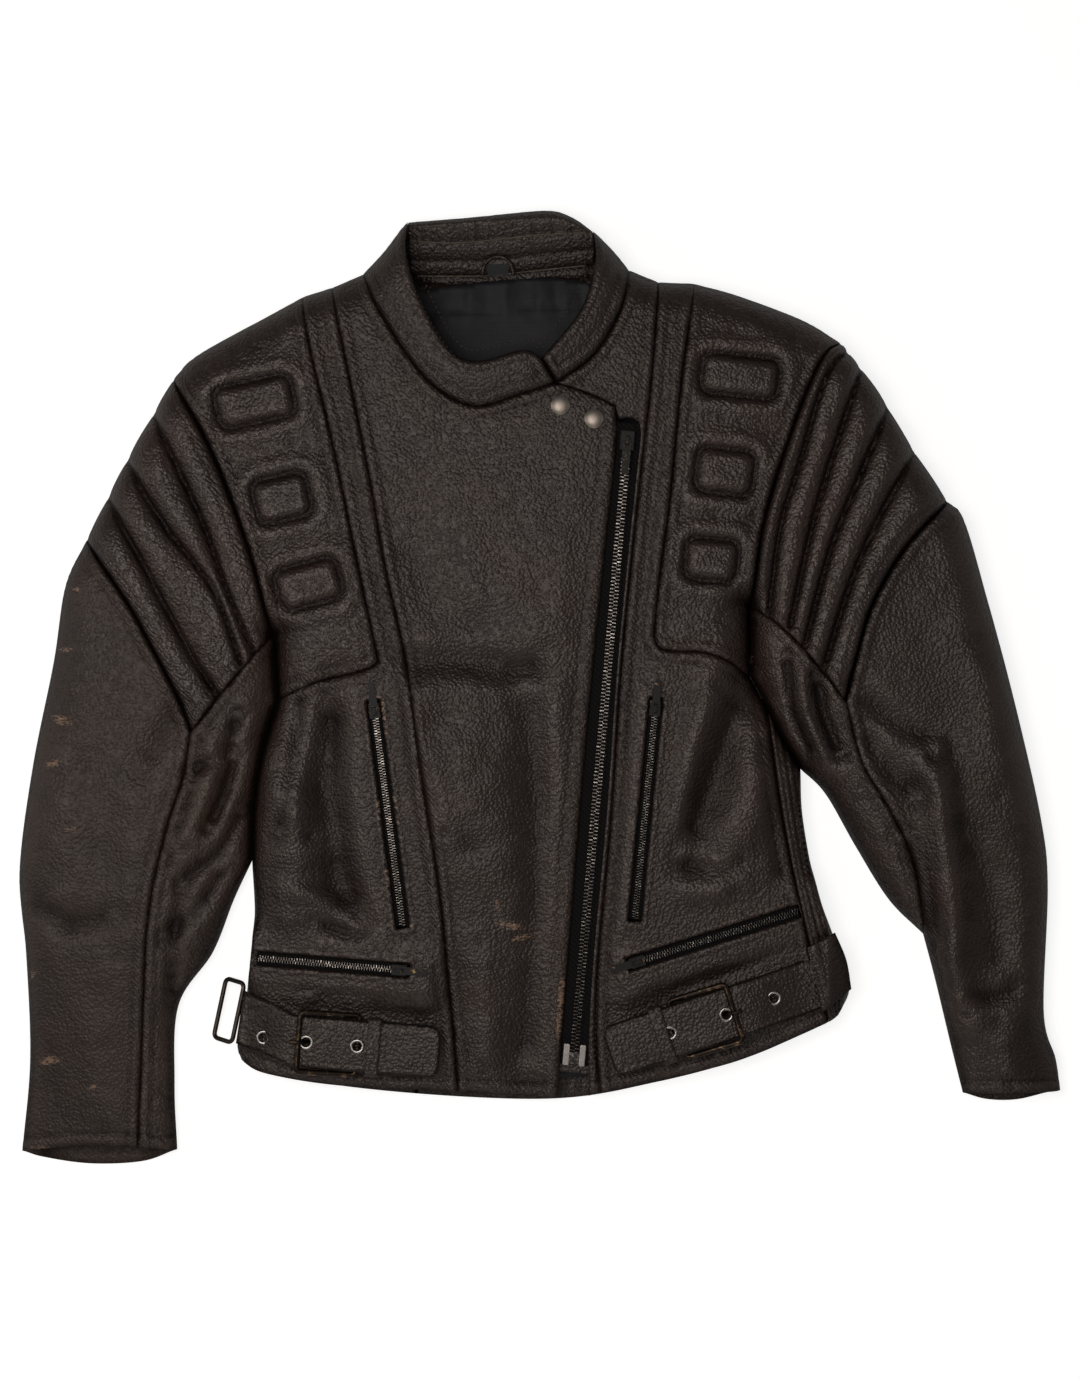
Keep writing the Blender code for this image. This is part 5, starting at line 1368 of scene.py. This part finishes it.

# Nickel-plated brass eyelets: bright.
nickel, tree, shader = surface("nickel_plated_eyelet")
where = add(tree, "TexCoord").outputs["Object"]
film = add(tree, "TexNoise", {"Vector": where, "Scale": 1 / (2.5 * MM), "Detail": 4.0})
tint(tree, shader, film.outputs["Fac"], "#6f6c69", "#b9b4ae")
shader.inputs["Metallic"].default_value = 1.0
shader.inputs["Roughness"].default_value = 0.3

EYELET = [(3.3, -1.4), (3.3, 0.3), (3.7, 0.7), (4.6, 0.8), (5.2, 0.6), (5.5, 0.0), (5.2, -0.5), (4.1, -0.6),
          (4.0, -1.4)]


def belt(name):
    b = Belt(name)
    tip = b.tip
    outline = [b.at(*p) for p in arc((-tip + 9, STRAP_HALF - 9), 9, 180, 90, 8)]
    outline += [b.at(u, STRAP_HALF) for u in (-36, -20, 0, 20, 48)] + [np.array(p, float) for p in b.end
            + b.end_back]
    outline += [b.at(u, -STRAP_HALF) for u in (48, 20, 0, -20, -36)]
    outline += [b.at(*p) for p in arc((-tip + 9, -STRAP_HALF + 9), 9, 270, 180, 8)]
    holes = [[b.at(*p) for p in arc((at, 0), 3.9, 0, 345, 23)] for at in (HOLE_AT, *b.eyelets)]
    fine_sheet(f"belt_tail_{name}_leather", np.array(outline), b.tail_top, belt_hide, thick=STRAP, step=2.0,
               holes=holes, gap=0.05, stands_for=[f"belt_tail_{name}"], painted_edge_shade=True)
    edge = np.array([b.at(u, v) for u, v in [(60, STRAP_HALF - 3.2), (-tip + 9, STRAP_HALF - 3.2)]
                     + arc((-tip + 9, STRAP_HALF - 9), 5.8, 90, 180, 6)
                     + arc((-tip + 9, -STRAP_HALF + 9), 5.8, 180, 270, 6)
                     + [(60, -STRAP_HALF + 3.2)]])
    fine = spline([tuple(p) for p in edge], 2.0)
    thread_piece(f"belt_stitching_{name}", [(fine, b.tail_top)], thread)
    for k, at in enumerate((HOLE_AT, *b.eyelets)):
        spot = b.at(at)
        top = float(b.tail_top(spot[None])[0])
        turned(f"belt_eyelet_{name}_{k}", EYELET, (*spot, top), ((*b.along, 0), (*b.across, 0), (0, 0, 1)),
               nickel,
               slot="buckle_brass")
    rise = TAIL_LIFT + STRAP + 0.5 + 1.5 - PIVOT_LIFT
    tilt, reach = math.atan2(rise, FRAME_LENGTH), math.hypot(rise, FRAME_LENGTH)
    half, bend = FRAME_HALF - WIRE, 3.2
    loop = [(0.0, v) for v in np.linspace(-half + bend, half - bend, 14)]
    loop += arc((bend, half - bend), bend, 180, 90, 6)[1:]
    loop += [(u, half) for u in np.linspace(bend + 2, reach - bend - 2, 12)]
    loop += arc((reach - bend, half - bend), bend, 90, 0, 6)
    loop += [(reach, v) for v in np.linspace(half - bend - 2, -half + bend + 2, 14)]
    loop += arc((reach - bend, -half + bend), bend, 0, -90, 6)
    loop += [(u, -half) for u in np.linspace(reach - bend - 2, bend + 2, 12)]
    loop += arc((bend, -half + bend), bend, 270, 180, 6)[:-1]
    u, v = np.array(loop).T
    tube(f"buckle_frame_{name}_wire", b.place(u * math.cos(tilt), v, u * math.sin(tilt) + PIVOT_LIFT), WIRE,
         brass,
         closed=True, ride=f"buckle_{name}", stands_for=[f"buckle_frame_{name}"])
    top = PIVOT_LIFT + rise + WIRE + 1.3
    route = [(3.4 * math.cos(a), PIVOT_LIFT + 3.4 * math.sin(a))
             for a in np.radians(np.linspace(-330, -20, 18))]
    route += [(12, PIVOT_LIFT - 0.3), (24, PIVOT_LIFT - 0.3), (33.5, PIVOT_LIFT + 0.1),
              (38.2, PIVOT_LIFT + 4.2),
              (42.6, top), (47.2, top + 0.7), (50.2, top + 0.5)]
    u, n = spline([tuple(q) for q in route], 1.2).T
    tube(f"buckle_prong_{name}_wire", b.place(u, 0 * u, n), 1.35, brass, ride=f"prong_{name}",
         stands_for=[f"buckle_prong_{name}"])
    low, high, w = 0.7, TAIL_LIFT + STRAP + 2.2, STRAP_HALF + 2.4
    loops = []
    for shrink in (0.0, 1.6):
        ring, r = [], 2.6 - shrink * 0.8
        for (cv, cn), start in (((w - shrink - r, high - shrink - r), 90),
                                ((w - shrink - r, low + shrink * 0.88 + r), 0),
                                ((-w + shrink + r, low + shrink * 0.88 + r), -90),
                                ((-w + shrink + r, high - shrink - r), -180)):
            ring += arc((cv, cn), r, start, start - 90, 5)
        loops.append(np.array(ring))
    count = len(loops[0])
    slices = [(-17.0, 1.3), (-16.4, 0), (-15.0, -0.1), (-12.0, 0.1), (-9.0, -0.1), (-7.6, 0), (-7.0, 1.3)]
    verts = []
    for u, pinch in slices:
        mid = (loops[0] + loops[1]) / 2
        t = 0.35 * max(pinch, 0)
        for ring, way in ((loops[0], 1), (loops[1], -1)):
            q = ring + (mid - ring) * t
            if way > 0 and pinch == 0.1:
                q = q + np.sign(q) * 0.12
            verts.append(b.place(np.full(count, u), q[:, 0], q[:, 1]))
    faces = []
    for i in range(len(slices) - 1):
        for j in range(count):
            k = (j + 1) % count
            a, c = 2 * i * count, 2 * (i + 1) * count
            faces.append((a + j, c + j, c + k, a + k))
            faces.append((a + count + j, a + count + k, c + count + k, c + count + j))
    for i, flip in ((0, False), (len(slices) - 1, True)):
        for j in range(count):
            k, a = (j + 1) % count, 2 * i * count
            quad = (a + j, a + k, a + count + k, a + count + j)
            faces.append(quad[::-1] if flip else quad)
    piece(f"belt_keeper_{name}_leather", np.vstack(verts), faces, belt_hide, body=f"keeper_{name}",
                 stands_for=[f"belt_keeper_{name}"])
    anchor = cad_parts[f"belt_anchor_{name}"]
    dress(anchor, belt_hide)


belt("right")
belt("left")

# Side ring: steel wire bent to a rounded rectangle, plated dark like the buckles.
steel, tree, shader = surface("steel_wire_blackened")
where = add(tree, "TexCoord").outputs["Object"]
rub = add(tree, "TexNoise", {"Vector": where, "Scale": 1 / (5 * MM), "Detail": 5.0})
tint(tree, shader, rub.outputs["Fac"], "#1d1a19", "#5b5049")
shader.inputs["Metallic"].default_value = 0.9
shader.inputs["Roughness"].default_value = 0.35
RING_AT, RING_Z, RING_TURN, RING_DROP = (-226.8, -245.0), 22.0, math.radians(12), math.radians(38)
out = np.array([-math.cos(RING_TURN), math.sin(RING_TURN), 0.0])
bar = np.array([math.sin(RING_TURN), math.cos(RING_TURN), 0.0])
down = out * math.cos(RING_DROP) - np.array([0, 0, math.sin(RING_DROP)])
half, bend, reach = 22.8, 4.0, 19.3
loop = [(0.0, v) for v in np.linspace(-half + bend, half - bend, 12)] + arc((bend, half - bend), bend, 180,
        90, 6)[1:]
loop += [(u, half) for u in np.linspace(bend + 2, reach - bend - 2, 5)] + arc((reach - bend, half - bend),
        bend, 90, 0, 6)
loop += [(reach, v) for v in np.linspace(half - bend - 2, -half + bend + 2, 12)]
loop += arc((reach - bend, -half + bend), bend, 0, -90,
            6) + [(u, -half) for u in np.linspace(reach - bend - 2, bend + 2, 5)]
loop += arc((bend, -half + bend), bend, 270, 180, 6)[:-1]
tube("side_ring_wire", [np.array([*RING_AT, RING_Z]) + u * down - v * bar for u, v in loop], 1.75, steel,
     closed=True,
     ride="side_ring", stands_for=["side_ring"])

# Carrier patch that the left belt runs under, sewn down along its edge.
carrier = chain_of(spline([(201, -194), (222, -183)]), spline([(222, -183), (231, -204), (235, -226)]),
                   spline([(235, -226), (212, -243)]), spline([(212, -243), (201, -194)]))


def carrier_top(points):
    base = np.maximum(shell(points) + 6.0, 40.4 - 0.55 * np.clip(points[:, 0] - 217, 0, 40))
    edge = distance(points, np.vstack([carrier, carrier[:1]]))
    return base - 1.0 * np.exp(-edge / 1.3) - 0.5 * np.exp(-((edge - 4.2) / 0.9) ** 2)


fine_sheet("belt_carrier_left_leather", carrier, carrier_top, belt_hide, thick=1.8, step=2.0,
           stands_for=["belt_carrier_left"])


# ---------------------------------------------------------------- press studs
# Domed caps of plated brass on the flap's corner, rolled over a back plate.

# Pewter-coloured plating with a satin face, brushed in turning.
pewter, tree, shader = surface("brass_pewter_plated_satin")
where = add(tree, "TexCoord").outputs["Object"]
scuff = add(tree, "TexNoise", {"Vector": where, "Scale": 1 / (1.2 * MM), "Detail": 5.0, "Roughness": 0.7})
tint(tree, shader, scuff.outputs["Fac"], "#736a62", "#aaa095")
shader.inputs["Metallic"].default_value = 1.0
matt = add(tree, "MapRange",
           {"Value": scuff.outputs["Fac"], "From Min": 0.3, "From Max": 0.7, "To Min": 0.4, "To Max": 0.52})
tree.links.new(matt.outputs[0], shader.inputs["Roughness"])
CAP = [(0.0, 0.2), (6.6, 0.2), (7.3, 0.5), (7.45, 1.0), (7.25, 1.5), (6.9, 1.75), (6.5, 1.9), (6.2, 2.1),
       (5.0, 2.65),
       (3.4, 3.05), (1.7, 3.25), (0.0, 3.3)]
for label in ("inner", "outer"):
    low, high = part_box(f"snap_cap_{label}")
    turned(f"snap_cap_{label}_dome", CAP,
           (500 * (low[0] + high[0]), 500 * (low[1] + high[1]), low[2] / MM - 0.2),
           ((1, 0, 0), (0, 1, 0), (0, 0, 1)), pewter, sides=48, stands_for=[f"snap_cap_{label}"])


# ---------------------------------------------------------------- hanger loop and label
# A loop of rolled leather over a blank woven label, sewn into the neck's seam.

LOOP_AT, LOOP_RADIUS = (-31.0, 313.0), 11.5
low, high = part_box("hanger_loop")
LOOP_Z = high[2] / MM - 1.5
turn = np.radians(np.linspace(-8, 188, 30))
tube("hanger_loop_cord",
     [(LOOP_AT[0] + LOOP_RADIUS * math.cos(a), LOOP_AT[1] + 12.5 * math.sin(a), LOOP_Z + 1.2 * math.sin(a))
                          for a in turn], 1.35, belt_hide, slot="lining", stands_for=["hanger_loop"])
# Damask-woven polyester label, left blank.
woven, tree, shader = surface("label_polyester_damask")
where = add(tree, "TexCoord").outputs["Object"]
grid = add(tree, "TexWave", {"Vector": where, "Scale": 1 / (0.8 * MM) / 6.28}, bands_direction="X")
tint(tree, shader, grid.outputs["Fac"], "#121214", "#1d1d20")
shader.inputs["Roughness"].default_value = 0.6
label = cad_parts["size_label"]
dress(label, woven)

# The foam inside the yokes keeps the design's own solids.
# Polyurethane foam: open cells under a millimetre.
foam, tree, shader = surface("polyurethane_foam_grey")
where = add(tree, "TexCoord").outputs["Object"]
cells = add(tree, "TexVoronoi", {"Vector": where, "Scale": 1 / (0.9 * MM)})
pits = add(tree, "Bump", {"Height": cells.outputs["Distance"], "Strength": 0.6, "Distance": 0.0004})
tree.links.new(pits.outputs[0], shader.inputs["Normal"])
tint(tree, shader, cells.outputs["Distance"], "#3a3a3c", "#56565a")
shader.inputs["Roughness"].default_value = 0.95
for node_name, material in (("yoke_padding_right", foam), ("yoke_padding_left", foam)):
    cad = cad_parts[node_name]
    dress(cad, material)
